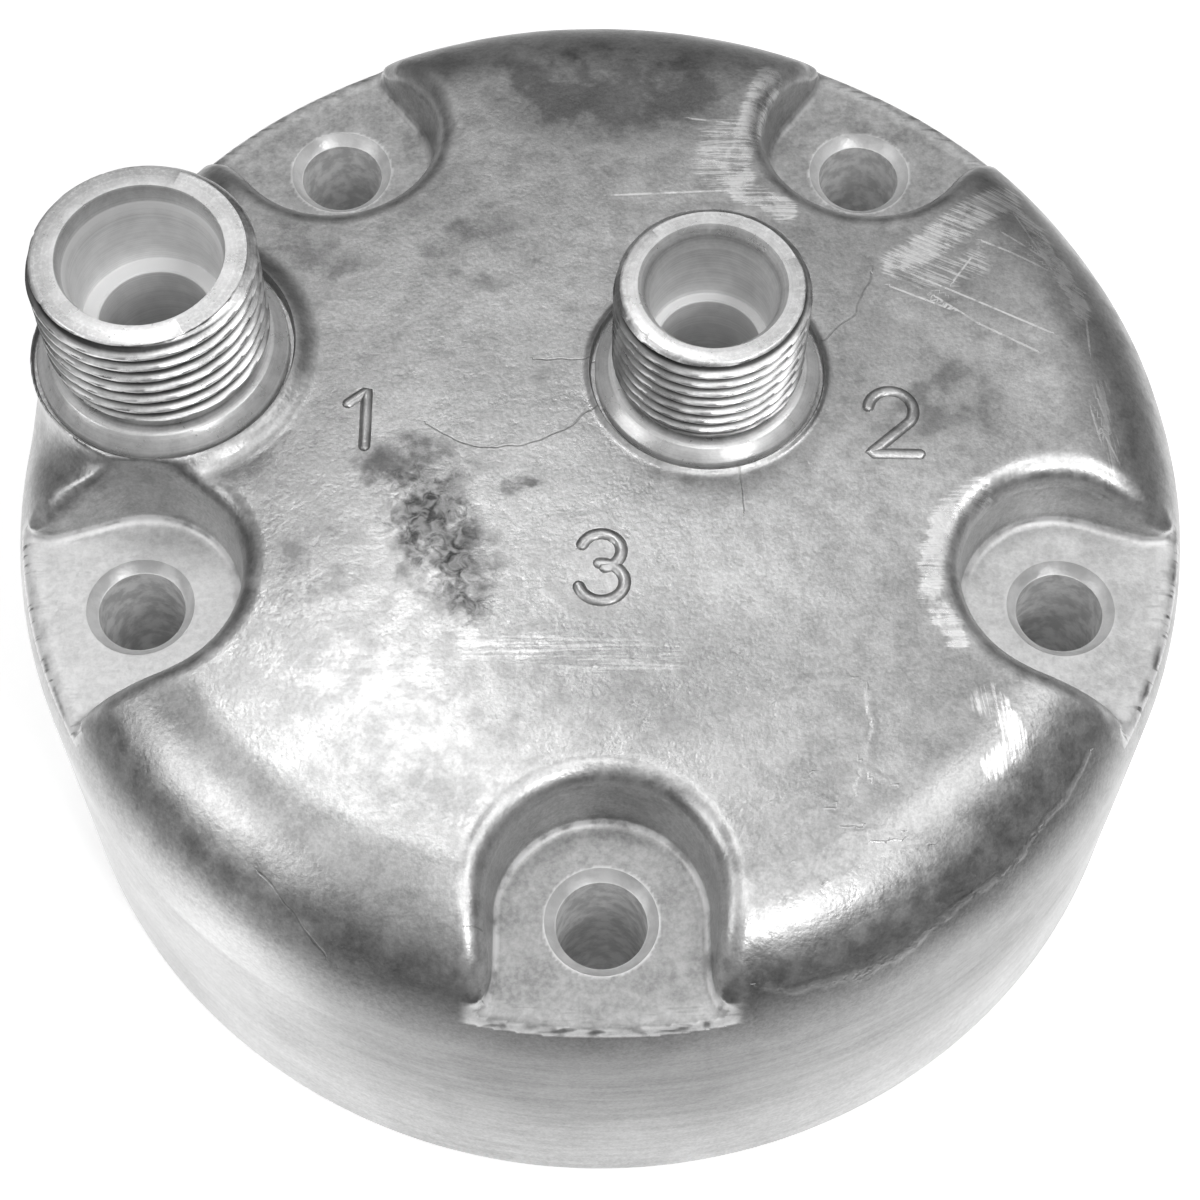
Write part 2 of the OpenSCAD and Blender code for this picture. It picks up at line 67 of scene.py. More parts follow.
# Inside: the stack's recess, the two chambers, the bolts' columns, the metal round a seat, and the pins
RECESS_R = 57.0
GASKET_Z = 7.0
CEILING_Z = 43.5
DISCHARGE_R = 31.5
SUCTION_IN_R, SUCTION_OUT_R = 35.5, 53.5
INNER_CORNER, OUTER_CORNER = 3, 8
COLUMN_R = 8.3
POCKET_R, POCKET_LENGTH, POCKET_Z = 14.4, 14, 35.8
PIN_R, PIN_ANGLES = 51, (108, 288)
PIN_HOLE_R, PIN_HOLE_Z = 2.04, 14
PIN_BOSS_R, PIN_BOSS_Z = 4.5, 19
# Height of the faces under the collars, and where a tool starts below or ends above its cut
COLLAR_SEAT_Z = 48.6
BELOW_Z, ABOVE_Z = 5, 50
PORTS = {
    "suction": dict(offset=44.9, angle=167.6, lip=13.3, groove=13.0, shank=10.05),
    "discharge": dict(offset=12.8, angle=34.5, lip=11.9, groove=11.6, shank=8.65),
}
for port in PORTS.values():
    turn = math.radians(port["angle"])
    port["x"], port["y"] = port["offset"] * math.cos(turn), port["offset"] * math.sin(turn)


# -------------------- smooth noise

def lattice(ix, iy, iz, seed):
    """A repeatable number from 0 to 1 for each lattice point."""
    n = (ix.astype(np.int64) * 73856093) ^ (iy.astype(np.int64) * 19349663) ^ (iz.astype(np.int64) * 83492791)
    n = (n ^ (seed * 2654435761)) & 0xFFFFFFFF
    n = ((n ^ (n >> 15)) * 2246822519) & 0xFFFFFFFF
    n = ((n ^ (n >> 13)) * 3266489917) & 0xFFFFFFFF
    return ((n ^ (n >> 16)) & 0xFFFFFF) / float(0xFFFFFF)


def noise(x, y, z, size, seed=1):
    """Value noise from -1 to 1 with bumps about size wide."""
    x, y, z = np.asarray(x) / size, np.asarray(y) / size, np.asarray(z) / size
    ix, iy, iz = np.floor(x), np.floor(y), np.floor(z)
    fx, fy, fz = (q * q * q * (q * (6 * q - 15) + 10) for q in (x - ix, y - iy, z - iz))
    out = 0
    for a, wx in ((0, 1 - fx), (1, fx)):
        for b, wy in ((0, 1 - fy), (1, fy)):
            for c, wz in ((0, 1 - fz), (1, fz)):
                out = out + wx * wy * wz * lattice(ix + a, iy + b, iz + c, seed)
    return 2 * out - 1


def rough(x, y, z, size, seed=1, octaves=3):
    """Several sizes of value noise, roughly from -1 to 1."""
    total, weight = 0, 0.0
    for k in range(octaves):
        total = total + noise(x, y, z, size / 2 ** k, seed + 17 * k) * 0.55 ** k
        weight += 0.55 ** k
    return total / weight


def step(low, high, v):
    t = np.clip((v - low) / (high - low), 0, 1)
    return t * t * (3 - 2 * t)


# -------------------- the casting's outside as a distance

def body_distance(r, z):
    """Domed top, rounded shoulder and leaning wall."""
    shoulder = np.hypot(r - SHOULDER_X, z - SHOULDER_Z) - SHOULDER_R
    dome = np.hypot(r, z - (CROWN_Z - DOME_R)) - DOME_R
    wall = (r - WALL_X - (SHOULDER_Z - z) * math.tan(LEAN)) * math.cos(LEAN)
    inner = (r - SHOULDER_X) < (z - SHOULDER_Z) * (SHOULDER_X / DOME_R)
    return np.where(z < SHOULDER_Z, wall, np.where(inner, dome, shoulder))


def blend_add(a, b, radius):
    u, v = np.maximum(radius - a, 0), np.maximum(radius - b, 0)
    return np.maximum(radius, np.minimum(a, b)) - np.hypot(u, v)


def blend_cut(a, b, radius):
    """a without b, its edges rounded."""
    u, v = np.maximum(radius + a, 0), np.maximum(radius - b, 0)
    return np.minimum(-radius, np.maximum(a, -b)) + np.hypot(u, v)


def seat_frame(x, y):
    """Place in the nearest bolt seat: u outwards and v along the rim, from the bolt's axis."""
    a = np.degrees(np.arctan2(y, x))
    k = np.round((a + 90) / 72)
    t = np.radians(-90 + 72 * k)
    c, s = np.cos(t), np.sin(t)
    return x * c + y * s - BOLT_R, y * c - x * s, k.astype(int) % 5


def flare(u):
    """How much wider a seat's mouth is than its floor's half width."""
    return FLARE * (np.maximum(u - FLARE_FROM, 0) / FLARE_LENGTH) ** 2


def seat_distance(x, y, z):
    u, v, _ = seat_frame(x, y)
    past = np.maximum(u - FLARE_FROM, 0)
    slope = FLARE * 2 * past / FLARE_LENGTH ** 2
    plan = np.where(u < 0, np.hypot(u, v), np.abs(v) - flare(u)) - SEAT_HALF
    wall = (plan - (z - SEAT_Z) * math.tan(DRAFT)) * math.cos(DRAFT) / np.sqrt(1 + slope * slope)
    floor = SEAT_Z - z
    p, q = np.maximum(SEAT_FILLET + wall, 0), np.maximum(SEAT_FILLET + floor, 0)
    return np.minimum(-SEAT_FILLET, np.maximum(wall, floor)) + np.hypot(p, q)


def casting_distance(x, y, z):
    r = np.hypot(x, y)
    skin = body_distance(r, z)
    skin = skin - 0.035 * noise(x, y, z, 9.0, 3) - 0.012 * noise(x, y, z, 3.2, 5)
    near = np.full_like(skin, 99.0)
    for name, top, soft in (("suction", 49.55, 2.6), ("discharge", 49.62, 0.55)):
        port = PORTS[name]
        q = np.hypot(x - port["x"], y - port["y"])
        a, b = q - port["lip"] + 0.3, z - top + 0.3
        boss = np.minimum(np.maximum(a, b), 0) + np.hypot(np.maximum(a, 0), np.maximum(b, 0)) - 0.3
        skin = blend_add(skin, boss, soft)
        if name == "suction":
            near = q
    cut = seat_distance(x, y, z) + 0.03 * noise(x, y, z, 5.0, 9)
    edge = 0.3 + 1.9 * step(40.5, 43.5, z) * (0.22 + 0.78 * step(14.0, 18.0, near))
    edge = np.maximum(edge, 0.95 * step(55.0, 57.0, r) * step(42.0, 40.9, z))
    return blend_cut(skin, cut, edge)


# -------------------- meshes from numbers

def surface_net(distance, low, high, cell):
    """The zero surface of a distance on a grid, as vertices and quads. It stays open at the grid's foot."""
    n = [int(math.ceil((b - a) / cell)) + 1 for a, b in zip(low, high)]
    ax = [low[i] + cell * np.arange(n[i]) for i in range(3)]
    f = np.empty(n, np.float32)
    for k in range(n[2]):
        x, y = np.meshgrid(ax[0], ax[1], indexing="ij")
        f[:, :, k] = distance(x, y, np.full_like(x, ax[2][k]))
    s = f < 0
    count = np.zeros([m - 1 for m in n], np.int8)
    corners = [(a, b, c) for a in (0, 1) for b in (0, 1) for c in (0, 1)]
    for a, b, c in corners:
        count += s[a:n[0] - 1 + a, b:n[1] - 1 + b, c:n[2] - 1 + c]
    cells = np.argwhere((count > 0) & (count < 8))
    index = np.full(count.shape, -1, np.int64)
    index[tuple(cells.T)] = np.arange(len(cells))
    places, hits = np.zeros((len(cells), 3)), np.zeros(len(cells))
    for p in corners:
        for axis in range(3):
            if p[axis]:
                continue
            q = tuple(p[i] + (i == axis) for i in range(3))
            fa, fb = (f[tuple((cells + w).T)].astype(float) for w in (p, q))
            m = (fa < 0) != (fb < 0)
            t = fa[m] / (fa[m] - fb[m])
            at = (cells[m] + np.array(p)).astype(float)
            at[:, axis] += t
            places[m] += at
            hits[m] += 1
    places = np.array(low) + cell * places / hits[:, None]
    quads = []
    for axis in range(3):
        i, j = (axis + 1) % 3, (axis + 2) % 3
        one, two = [slice(None)] * 3, [slice(None)] * 3
        one[axis], two[axis] = slice(0, n[axis] - 1), slice(1, n[axis])
        one[i] = two[i] = slice(1, n[i] - 1)
        one[j] = two[j] = slice(1, n[j] - 1)
        a, b = s[tuple(one)], s[tuple(two)]
        for sign in (True, False):
            at = np.argwhere((a == sign) & (b != sign))
            at[:, [i, j]] += 1
            ring = []
            for di, dj in ((-1, -1), (0, -1), (0, 0), (-1, 0)):
                c = at.copy()
                c[:, [i, j]] += (di, dj)
                ring.append(index[tuple(c.T)])
            ring = np.stack(ring if sign else ring[::-1], 1)
            quads.append(ring)
    return places, np.concatenate(quads)


def settle(distance, p, rounds=2):
    """Moves points onto the zero surface."""
    e = 0.02
    for _ in range(rounds):
        d = distance(*p.T)
        g = np.stack([
            distance(p[:, 0] + e * (i == 0), p[:, 1] + e * (i == 1), p[:, 2] + e * (i == 2))
            - distance(p[:, 0] - e * (i == 0), p[:, 1] - e * (i == 1), p[:, 2] - e * (i == 2)) for i in range(3)
        ], 1) / (2 * e)
        p = p - np.clip(d, -0.3, 0.3)[:, None] * g / np.maximum((g * g).sum(1), 0.3)[:, None]
    return p


def relax(p, quads, fixed, amount=0.5):
    """Evens out the spacing of a quad mesh."""
    total, count = np.zeros_like(p), np.zeros(len(p))
    for k in range(4):
        a, b = quads[:, k], quads[:, (k + 1) % 4]
        for one, two in ((a, b), (b, a)):
            for axis in range(3):
                total[:, axis] += np.bincount(one, p[two, axis], len(p))
            count += np.bincount(one, minlength=len(p))
    out = p + amount * (total / np.maximum(count, 1)[:, None] - p)
    out[fixed] = p[fixed]
    return out


def zip_rings(a, angle_a, b, angle_b):
    """Triangles between two closed rings of vertices, by their angles. Ring a lies above ring b."""
    a, b = a[np.argsort(angle_a)], b[np.argsort(angle_b)]
    ta, tb = np.sort(angle_a), np.sort(angle_b)
    start = int(np.argmin(np.abs((tb - ta[0] + np.pi) % (2 * np.pi) - np.pi)))
    b, tb = np.roll(b, -start), np.roll(tb, -start)
    ta = ta - ta[0]
    tb = np.unwrap(np.concatenate([tb, tb[:1]]))
    tb = tb - tb[0]
    ta = np.append(ta, 2 * np.pi)
    a, b = np.append(a, a[0]), np.append(b, b[0])
    faces, i, j = [], 0, 0
    while i < len(a) - 1 or j < len(b) - 1:
        if j == len(b) - 1 or (i < len(a) - 1 and ta[i + 1] <= tb[j + 1]):
            faces.append((a[i], b[j], a[i + 1]))
            i += 1
        else:
            faces.append((a[i], b[j], b[j + 1]))
            j += 1
    return faces


def lathe(profile, steps, cx=0.0, cy=0.0):
    """A closed solid of revolution. The profile goes up the axis and its ends lie on it."""
    a = 2 * np.pi * np.arange(steps) / steps
    ca, sa = np.cos(a), np.sin(a)
    rings, verts, faces = [], [], []
    for r, z in profile:
        if r < 1e-9:
            rings.append([len(verts)])
            verts.append((cx, cy, z))
        else:
            rings.append(list(range(len(verts), len(verts) + steps)))
            verts += list(zip(cx + r * ca, cy + r * sa, np.full(steps, z)))
    for low, up in zip(rings, rings[1:]):
        for k in range(steps):
            m = (k + 1) % steps
            if len(low) == 1 and len(up) == 1:
                continue
            if len(low) == 1:
                faces.append((low[0], up[m], up[k]))
            elif len(up) == 1:
                faces.append((low[k], low[m], up[0]))
            else:
                faces.append((low[k], low[m], up[m], up[k]))
    return np.array(verts, float), faces


def prism(outline, z0, z1):
    """A closed straight solid over a plan outline that runs anticlockwise."""
    n = len(outline)
    verts = [(x, y, z) for z in (z0, z1) for x, y in outline]
    faces = [tuple(range(n))[::-1], tuple(range(n, 2 * n))]
    faces += [(k, (k + 1) % n, n + (k + 1) % n, n + k) for k in range(n)]
    return np.array(verts, float), faces


def make_object(name, verts, faces, smooth=True):
    """A mesh object. Its faces are tuples, or arrays of faces with one number of corners each."""
    mesh = bpy.data.meshes.new(name)
    verts = np.asarray(verts, float) * MM
    if isinstance(faces[0], np.ndarray):
        loops = np.concatenate([g.ravel() for g in faces]).astype(np.int32)
        sizes = np.concatenate([np.full(len(g), g.shape[1], np.int32) for g in faces])
        starts = np.concatenate([[0], np.cumsum(sizes)[:-1]]).astype(np.int32)
        mesh.vertices.add(len(verts))
        mesh.vertices.foreach_set("co", verts.ravel().astype(np.float32))
        mesh.loops.add(len(loops))
        mesh.loops.foreach_set("vertex_index", loops)
        mesh.polygons.add(len(sizes))
        mesh.polygons.foreach_set("loop_start", starts)
        mesh.polygons.foreach_set("loop_total", sizes)
        mesh.update(calc_edges=True)
    else:
        mesh.from_pydata([tuple(v) for v in verts], [], faces)
    mesh.validate()
    if smooth:
        mesh.polygons.foreach_set("use_smooth", np.ones(len(mesh.polygons), bool))
    obj = bpy.data.objects.new(name, mesh)
    bpy.context.scene.collection.objects.link(obj)
    return obj


def joined(parts):
    verts, faces, base = [], [], 0
    for v, f in parts:
        verts.append(np.asarray(v, float))
        faces += [tuple(int(i) + base for i in q) for q in f]
        base += len(v)
    return np.concatenate(verts), faces


def combine(obj, tool, how="DIFFERENCE"):
    """Takes a closed object away from another, or adds it, for good."""
    mod = obj.modifiers.new("cut", "BOOLEAN")
    mod.object, mod.operation, mod.solver = tool, how, "MANIFOLD"
    bake(obj)
    mesh = tool.data
    bpy.data.objects.remove(tool)
    bpy.data.meshes.remove(mesh)


def boolean(obj, parts, how="DIFFERENCE"):
    combine(obj, make_object("tool", *joined(parts), smooth=False), how)


def bake(obj):
    """Applies an object's modifiers."""
    dg = bpy.context.evaluated_depsgraph_get()
    mesh = bpy.data.meshes.new_from_object(obj.evaluated_get(dg))
    old = obj.data
    obj.modifiers.clear()
    obj.data = mesh
    bpy.data.meshes.remove(old)
    mesh.name = obj.name


def points_of(mesh):
    co = np.empty(len(mesh.vertices) * 3, np.float32)
    mesh.vertices.foreach_get("co", co)
    return co.reshape(-1, 3).astype(float) / MM


def sharpen(obj, degrees):
    mesh = obj.data
    mesh.polygons.foreach_set("use_smooth", np.ones(len(mesh.polygons), bool))
    mesh.set_sharp_from_angle(angle=math.radians(degrees))


def paint(obj, name, values):
    layer = obj.data.attributes.new(name, "FLOAT", "POINT")
    layer.data.foreach_set("value", np.clip(np.asarray(values, np.float32), 0, 1))


# -------------------- the casting

TOP_FROM = 37.0
CELL = 0.3


def shoulder_reach(z):
    return SHOULDER_X + math.sqrt(SHOULDER_R ** 2 - (z - SHOULDER_Z) ** 2)


def build_blank():
    """The casting's outside as one closed skin, without its holes."""
    reach = 61.2
    verts, quads = surface_net(casting_distance, (-reach, -reach, TOP_FROM), (reach, reach, 50.6), CELL)
    used = np.unique(quads)
    remap = np.full(len(verts), -1)
    remap[used] = np.arange(len(used))
    verts, quads = verts[used], remap[quads]
    edges = np.sort(np.concatenate([quads[:, [k, (k + 1) % 4]] for k in range(4)]), axis=1)
    key, times = np.unique(edges[:, 0] * len(verts) + edges[:, 1], return_counts=True)
    key = key[times == 1]
    rim = np.unique(np.concatenate([key // len(verts), key % len(verts)]))
    fixed = np.zeros(len(verts), bool)
    fixed[rim] = True
    for _ in range(3):
        verts = settle(casting_distance, relax(verts, quads, fixed), 1)
    verts = settle(casting_distance, verts, 2)
    angle = np.arctan2(verts[rim, 1], verts[rim, 0])
    verts[rim] = np.stack([np.cos(angle), np.sin(angle), np.zeros(len(rim))], 1) * shoulder_reach(TOP_FROM)
    verts[rim, 2] = TOP_FROM
    steps = 720
    levels = [(shoulder_reach(z), z) for z in (36.6, 36.1, 35.5, 34.9, 34.3)]
    levels += [(WALL_X + (SHOULDER_Z - z) * math.tan(LEAN), z) for z in np.linspace(33.5, 0.45, 44)]
    foot = WALL_X + SHOULDER_Z * math.tan(LEAN)
    levels += [(foot - 0.06, 0.22), (foot - 0.2, 0.07), (foot - 0.42, 0.0)]
    ring_angle = 2 * np.pi * np.arange(steps) / steps
    wave = np.stack([np.cos(ring_angle), np.sin(ring_angle)], 1)
    rings, base = [], len(verts)
    for k, (r, z) in enumerate(levels):
        swell = 0.03 * noise(wave[:, 0] * r, wave[:, 1] * r, np.full(steps, z), 9.0, 3) * min(1, k / 4)
        flat = 1.0 if z > 0.5 else 0.0
        rr = r + swell * flat
        rings.append(np.column_stack([wave * rr[:, None], np.full(steps, z)]))
    ids = base + np.arange(steps * len(levels)).reshape(len(levels), steps)
    below = np.stack([ids[1:], np.roll(ids[1:], -1, 1), np.roll(ids[:-1], -1, 1), ids[:-1]], -1).reshape(-1, 4)
    centre = base + steps * len(levels)
    verts = np.concatenate([verts, *rings, [[0.0, 0.0, 0.0]]])
    tris = [(int(a), int(b), int(c)) for a, b, c in zip_rings(rim, angle, ids[0], np.arctan2(wave[:, 1], wave[:, 0]))]
    last = ids[-1]
    tris += [(centre, int(last[(k + 1) % steps]), int(last[k])) for k in range(steps)]
    return make_object("cast_head", verts, [np.array(quads), below, np.array(tris)])


def arc(cx, cz, r, a0, a1, n):
    return [(cx + r * math.cos(math.radians(a)), cz + r * math.sin(math.radians(a))) for a in np.linspace(a0, a1, n)]


def around(angles, reach):
    """Places on a circle round the axis, each with the cosine and sine of its angle."""
    for angle in angles:
        c, s = math.cos(math.radians(angle)), math.sin(math.radians(angle))
        yield reach * c, reach * s, c, s


def rods(angles, reach, r, low, high, steps):
    """Upright closed cylinders at places on a circle."""
    return [lathe([(0, low), (r, low), (r, high), (0, high)], steps, x, y) for x, y, _, _ in around(angles, reach)]


def build_chamber():
    """The room of the suction chamber. It goes round the bolts' columns, the seats' metal and the pins' bosses."""
    outer = arc(SUCTION_OUT_R - OUTER_CORNER, CEILING_Z - OUTER_CORNER, OUTER_CORNER, 0, 90, 13)
    inner = arc(SUCTION_IN_R + INNER_CORNER, CEILING_Z - INNER_CORNER, INNER_CORNER, 90, 180, 9)
    profile = [(SUCTION_IN_R, GASKET_Z - 0.5), (SUCTION_OUT_R, GASKET_Z - 0.5)] + outer + inner
    chamber = make_object("chamber", *ring_solid(profile, 300), smooth=False)
    boolean(chamber, rods(BOLT_ANGLES, BOLT_R, COLUMN_R, BELOW_Z, ABOVE_Z, 72))
    bend = [(POCKET_R * math.cos(t), POCKET_R * math.sin(t)) for t in np.linspace(math.pi / 2, 3 * math.pi / 2, 49)]
    plan = [(POCKET_LENGTH, POCKET_R)] + bend + [(POCKET_LENGTH, -POCKET_R)]
    boolean(chamber, [
        prism([((BOLT_R + u) * c - v * s, (BOLT_R + u) * s + v * c) for u, v in plan], POCKET_Z, ABOVE_Z)
        for _, _, c, s in around(BOLT_ANGLES, BOLT_R)])
    boolean(chamber, rods(PIN_ANGLES, PIN_R, PIN_BOSS_R, BELOW_Z, PIN_BOSS_Z, 48))
    return chamber


def build_casting():
    obj = build_blank()
    boolean(obj, [lathe(
        [(0, -1), (RECESS_R, -1), (RECESS_R, GASKET_Z - 0.25), (RECESS_R - 0.25, GASKET_Z), (0, GASKET_Z)], 360)])
    corner = arc(DISCHARGE_R - INNER_CORNER, CEILING_Z - INNER_CORNER, INNER_CORNER, 0, 90, 9)
    boolean(obj, [lathe([(0, GASKET_Z - 0.5), (DISCHARGE_R, GASKET_Z - 0.5)] + corner + [(0, CEILING_Z)], 240)])
    combine(obj, build_chamber())
    # bolt holes, pin holes and the seats of both fittings
    holes = [
        lathe([(0, 3), (HOLE_R, 3), (HOLE_R, CHAMFER_Z), (4.42, 39.22), (5.3, 40.12), (CHAMFER_R, 40.32),
               (CHAMFER_R, 46), (0, 46)], 96, x, y)
        for x, y, _, _ in around(BOLT_ANGLES, BOLT_R)]
    holes += rods(PIN_ANGLES, PIN_R, PIN_HOLE_R, 3, PIN_HOLE_Z, 32)
    for port in PORTS.values():
        groove = port["groove"]
        holes.append(lathe(
            [(0, 41.9), (port["shank"], 41.9), (port["shank"], COLLAR_SEAT_Z), (groove, COLLAR_SEAT_Z),
             (groove + 0.02, 49.3), (groove + 0.28, 49.8), (groove + 0.28, 52), (0, 52)],
            192, port["x"], port["y"]))
    boolean(obj, holes)
    return obj


def ring_solid(profile, steps):
    """A closed ring of revolution. Its profile runs anticlockwise in (r, z) and closes on itself."""
    a = 2 * np.pi * np.arange(steps) / steps
    n = len(profile)
    verts = [(r * math.cos(t), r * math.sin(t), z) for t in a for r, z in profile]
    faces = []
    for k in range(steps):
        m = (k + 1) % steps
        for i in range(n):
            j = (i + 1) % n
            faces.append((k * n + i, k * n + j, m * n + j, m * n + i)[::-1])
    return np.array(verts, float), faces


def top_of(x, y):
    """Height of the domed top."""
    return CROWN_Z - DOME_R + np.sqrt(DOME_R ** 2 - x * x - y * y)


def stroke(points, half=0.62, high=0.3):
    """A raised cast line with a rounded top along a path on the dome, closed all round."""
    p = np.array(points, float)
    gaps = np.hypot(*np.diff(p, axis=0).T)
    far = np.concatenate([[0], np.cumsum(gaps)])
    n = max(int(far[-1] / 0.25), 4)
    t = np.linspace(0, far[-1], n)
    p = np.stack([np.interp(t, far, p[:, i]) for i in range(2)], 1)
    d = np.gradient(p, axis=0)
    d /= np.hypot(*d.T)[:, None]
    ends = (0.98, 0.85, 0.6, 0.3)
    cap = [math.sqrt(1 - k * k) for k in ends]
    spine = [p[0] - d[0] * half * k for k in ends] + list(p) + [p[-1] + d[-1] * half * k for k in ends[::-1]]
    side = [d[0]] * 4 + list(d) + [d[-1]] * 4
    wide = cap + [1.0] * len(p) + cap[::-1]
    across = np.linspace(-1, 1, 11)
    verts, faces, m = [], [], len(across) + 2
    for q, e, w in zip(spine, side, wide):
        left = np.array([-e[1], e[0]])
        for a in across:
            x, y = q + left * a * half * 1.12 * w
            rise = high * (1 - abs(a) ** 2.6 * 1.35) * min(1, w * 1.3)
            verts.append((x, y, top_of(x, y) + rise))
        for a in (1, -1):
            x, y = q + left * a * half * 0.9 * w
            verts.append((x, y, top_of(x, y) - 0.9))
    for i in range(len(spine) - 1):
        for j in range(m):
            k = (j + 1) % m
            faces.append((i * m + j, i * m + k, (i + 1) * m + k, (i + 1) * m + j))
    faces.append(tuple(range(m))[::-1])
    faces.append(tuple((len(spine) - 1) * m + j for j in range(m)))
    return np.array(verts), [f[::-1] for f in faces]


def bow(cx, cy, r, a0, a1, squash=1.0):
    return [(cx + r * math.cos(math.radians(a)), cy + squash * r * math.sin(math.radians(a)))
            for a in np.linspace(a0, a1, 24)]


def glyph(number, x, y, s):
    """Strokes of a plain numeral of height s, x and y at its lower left corner."""
    if number == 1:
        paths = [[(0.08 * s, 0.78 * s), (0.36 * s, s), (0.36 * s, 0)]]
    elif number == 2:
        top = bow(0.33 * s, 0.69 * s, 0.31 * s, 170, -35)
        paths = [top + [(0.02 * s, 0), (0.68 * s, 0)]]
    else:
        paths = [
            bow(0.33 * s, 0.745 * s, 0.27 * s, 160, -80, 0.95),
            bow(0.33 * s, 0.275 * s, 0.31 * s, 95, -165, 0.9),
        ]
    return [[(x + a, y + b) for a, b in p] for p in paths]


def spot(x, y, cx, cy, rx, ry, turn=0.0, soft=0.5):
    """1 in the middle of an ellipse on the plan, fading to 0 at its edge."""
    t = math.radians(turn)
    dx, dy = x - cx, y - cy
    q = np.hypot((dx * math.cos(t) + dy * math.sin(t)) / rx, (dy * math.cos(t) - dx * math.sin(t)) / ry)
    return 1 - step(1 - soft, 1 + soft, q)


def streak(x, y, path, half):
    """1 along a path on the plan, fading to 0 at half a width."""
    best = np.full(np.shape(x), 99.0)
    for (ax, ay), (bx, by) in zip(path, path[1:]):
        dx, dy = bx - ax, by - ay
        t = np.clip(((x - ax) * dx + (y - ay) * dy) / (dx * dx + dy * dy), 0, 1)
        best = np.minimum(best, np.hypot(x - ax - t * dx, y - ay - t * dy))
    return 1 - step(half * 0.35, half, best)


# Where the photo shows stains, as ellipses on the plan: x, y, half sizes, turn, amount
STAINS = (
    (1, 43.5, 13, 6.5, 0, 1.0), (-20, 30, 7, 5, 30, 0.5), (-18, -4, 6, 4, 0, 0.7), (-15, -13, 5, 8, 20, 0.75),
    (-7.5, -6.5, 2.6, 1.2, 10, 0.6), (34, 2.5, 8, 7, 0, 0.6), (-12, 22, 8, 6, 0, 0.5), (-30, 22, 9, 8, 0, 0.45),
    (37, 33, 9, 6, -45, 0.6), (-36, 37, 8, 6, 45, 0.6), (-20, 44, 10, 5, 20, 0.5), (26, 8, 5, 9, 10, 0.35),
    (52, -2, 5, 22, 0, 0.35), (22, 30, 6, 10, 15, 0.3), (-8, 8, 7, 5, 0, 0.25), (9, -30, 9, 3, 10, 0.15),
    (38, 17, 5.5, 4.5, -20, 0.5), (-50, 12, 5, 12, 0, 0.5), (-28, -14, 5, 5, 0, 0.3), (40, -4, 7, 5, 10, 0.45),
)
# Painted light and shade on each seat's floor, and a painted highlight on its fillet: front, right, back right, back
# left, left
SEAT_FLOOR_LIGHT = (0.0, 0.8, 0.15, 0.15, 1.0)
SEAT_FILLET_HIGHLIGHT = (1.0, 0.8, 0.25, 0.25, 0.9)
# Broad patches of painted light on the skin, and with a minus of painted shade
PAINTED_LIGHT_PATCHES = (
    (19, -10, 14, 13, 0, 0.22), (40, 4, 10, 14, 0, 0.32), (-29, -9, 11, 13, 0, -0.2), (0, -27, 13, 8, 0, -0.26),
    (-4, 23, 16, 10, 0, 0.14), (-33, -41, 10, 9, 45, 0.32), (0, -4, 9, 9, 0, -0.06),
)
# Bright scrapes by the direction of their scratches, each as a path on the plan, half a width and an amount
SCRAPES = {
    0: (
        (((17.8, 46.0), (16.6, 42.0), (15.2, 37.5), (14.0, 33.0), (14.8, 29.6), (19.0, 27.2)), 1.5, 1.0),
        (((12.8, 37.5), (12.0, 32.5)), 2.6, 0.6),
        (((37.2, -5.9), (33.8, -8.4), (31.9, -12.8), (31.7, -17.2), (32.5, -20.5), (33.6, -22.7)), 1.3, 1.0),
        (((-12.0, -23.5), (6.0, -25.0)), 2.2, 0.3), (((-28.0, -26.5), (-16.0, -25.5)), 2.6, 0.2),
    ),
    -26: (
        (((30.5, 20.6), (34.0, 23.2), (38.0, 27.0), (42.5, 30.6)), 1.9, 1.0),
        (((42.5, 30.6), (45.2, 27.0), (47.4, 21.6), (49.3, 16.0)), 1.1, 0.9),
        (((33.0, 19.0), (38.5, 21.0)), 1.8, 0.6),
    ),
    -83: (
        (((35.9, -28.8), (38.6, -30.8), (38.9, -32.9), (36.4, -35.2)), 1.3, 0.85),
        (((50.2, 6.5), (50.6, 0.0), (50.0, -4.0)), 1.0, 0.5),
    ),
}
PITS = (
    (-17.0, -9.0, 4.6, 5.0, 20, 0.9), (-15.2, -14.5, 3.2, 4.6, 30, 1.0), (-12.4, -19.6, 2.6, 2.6, 0, 0.9),
    (-31, -17, 4, 3, 0, 0.35),
)

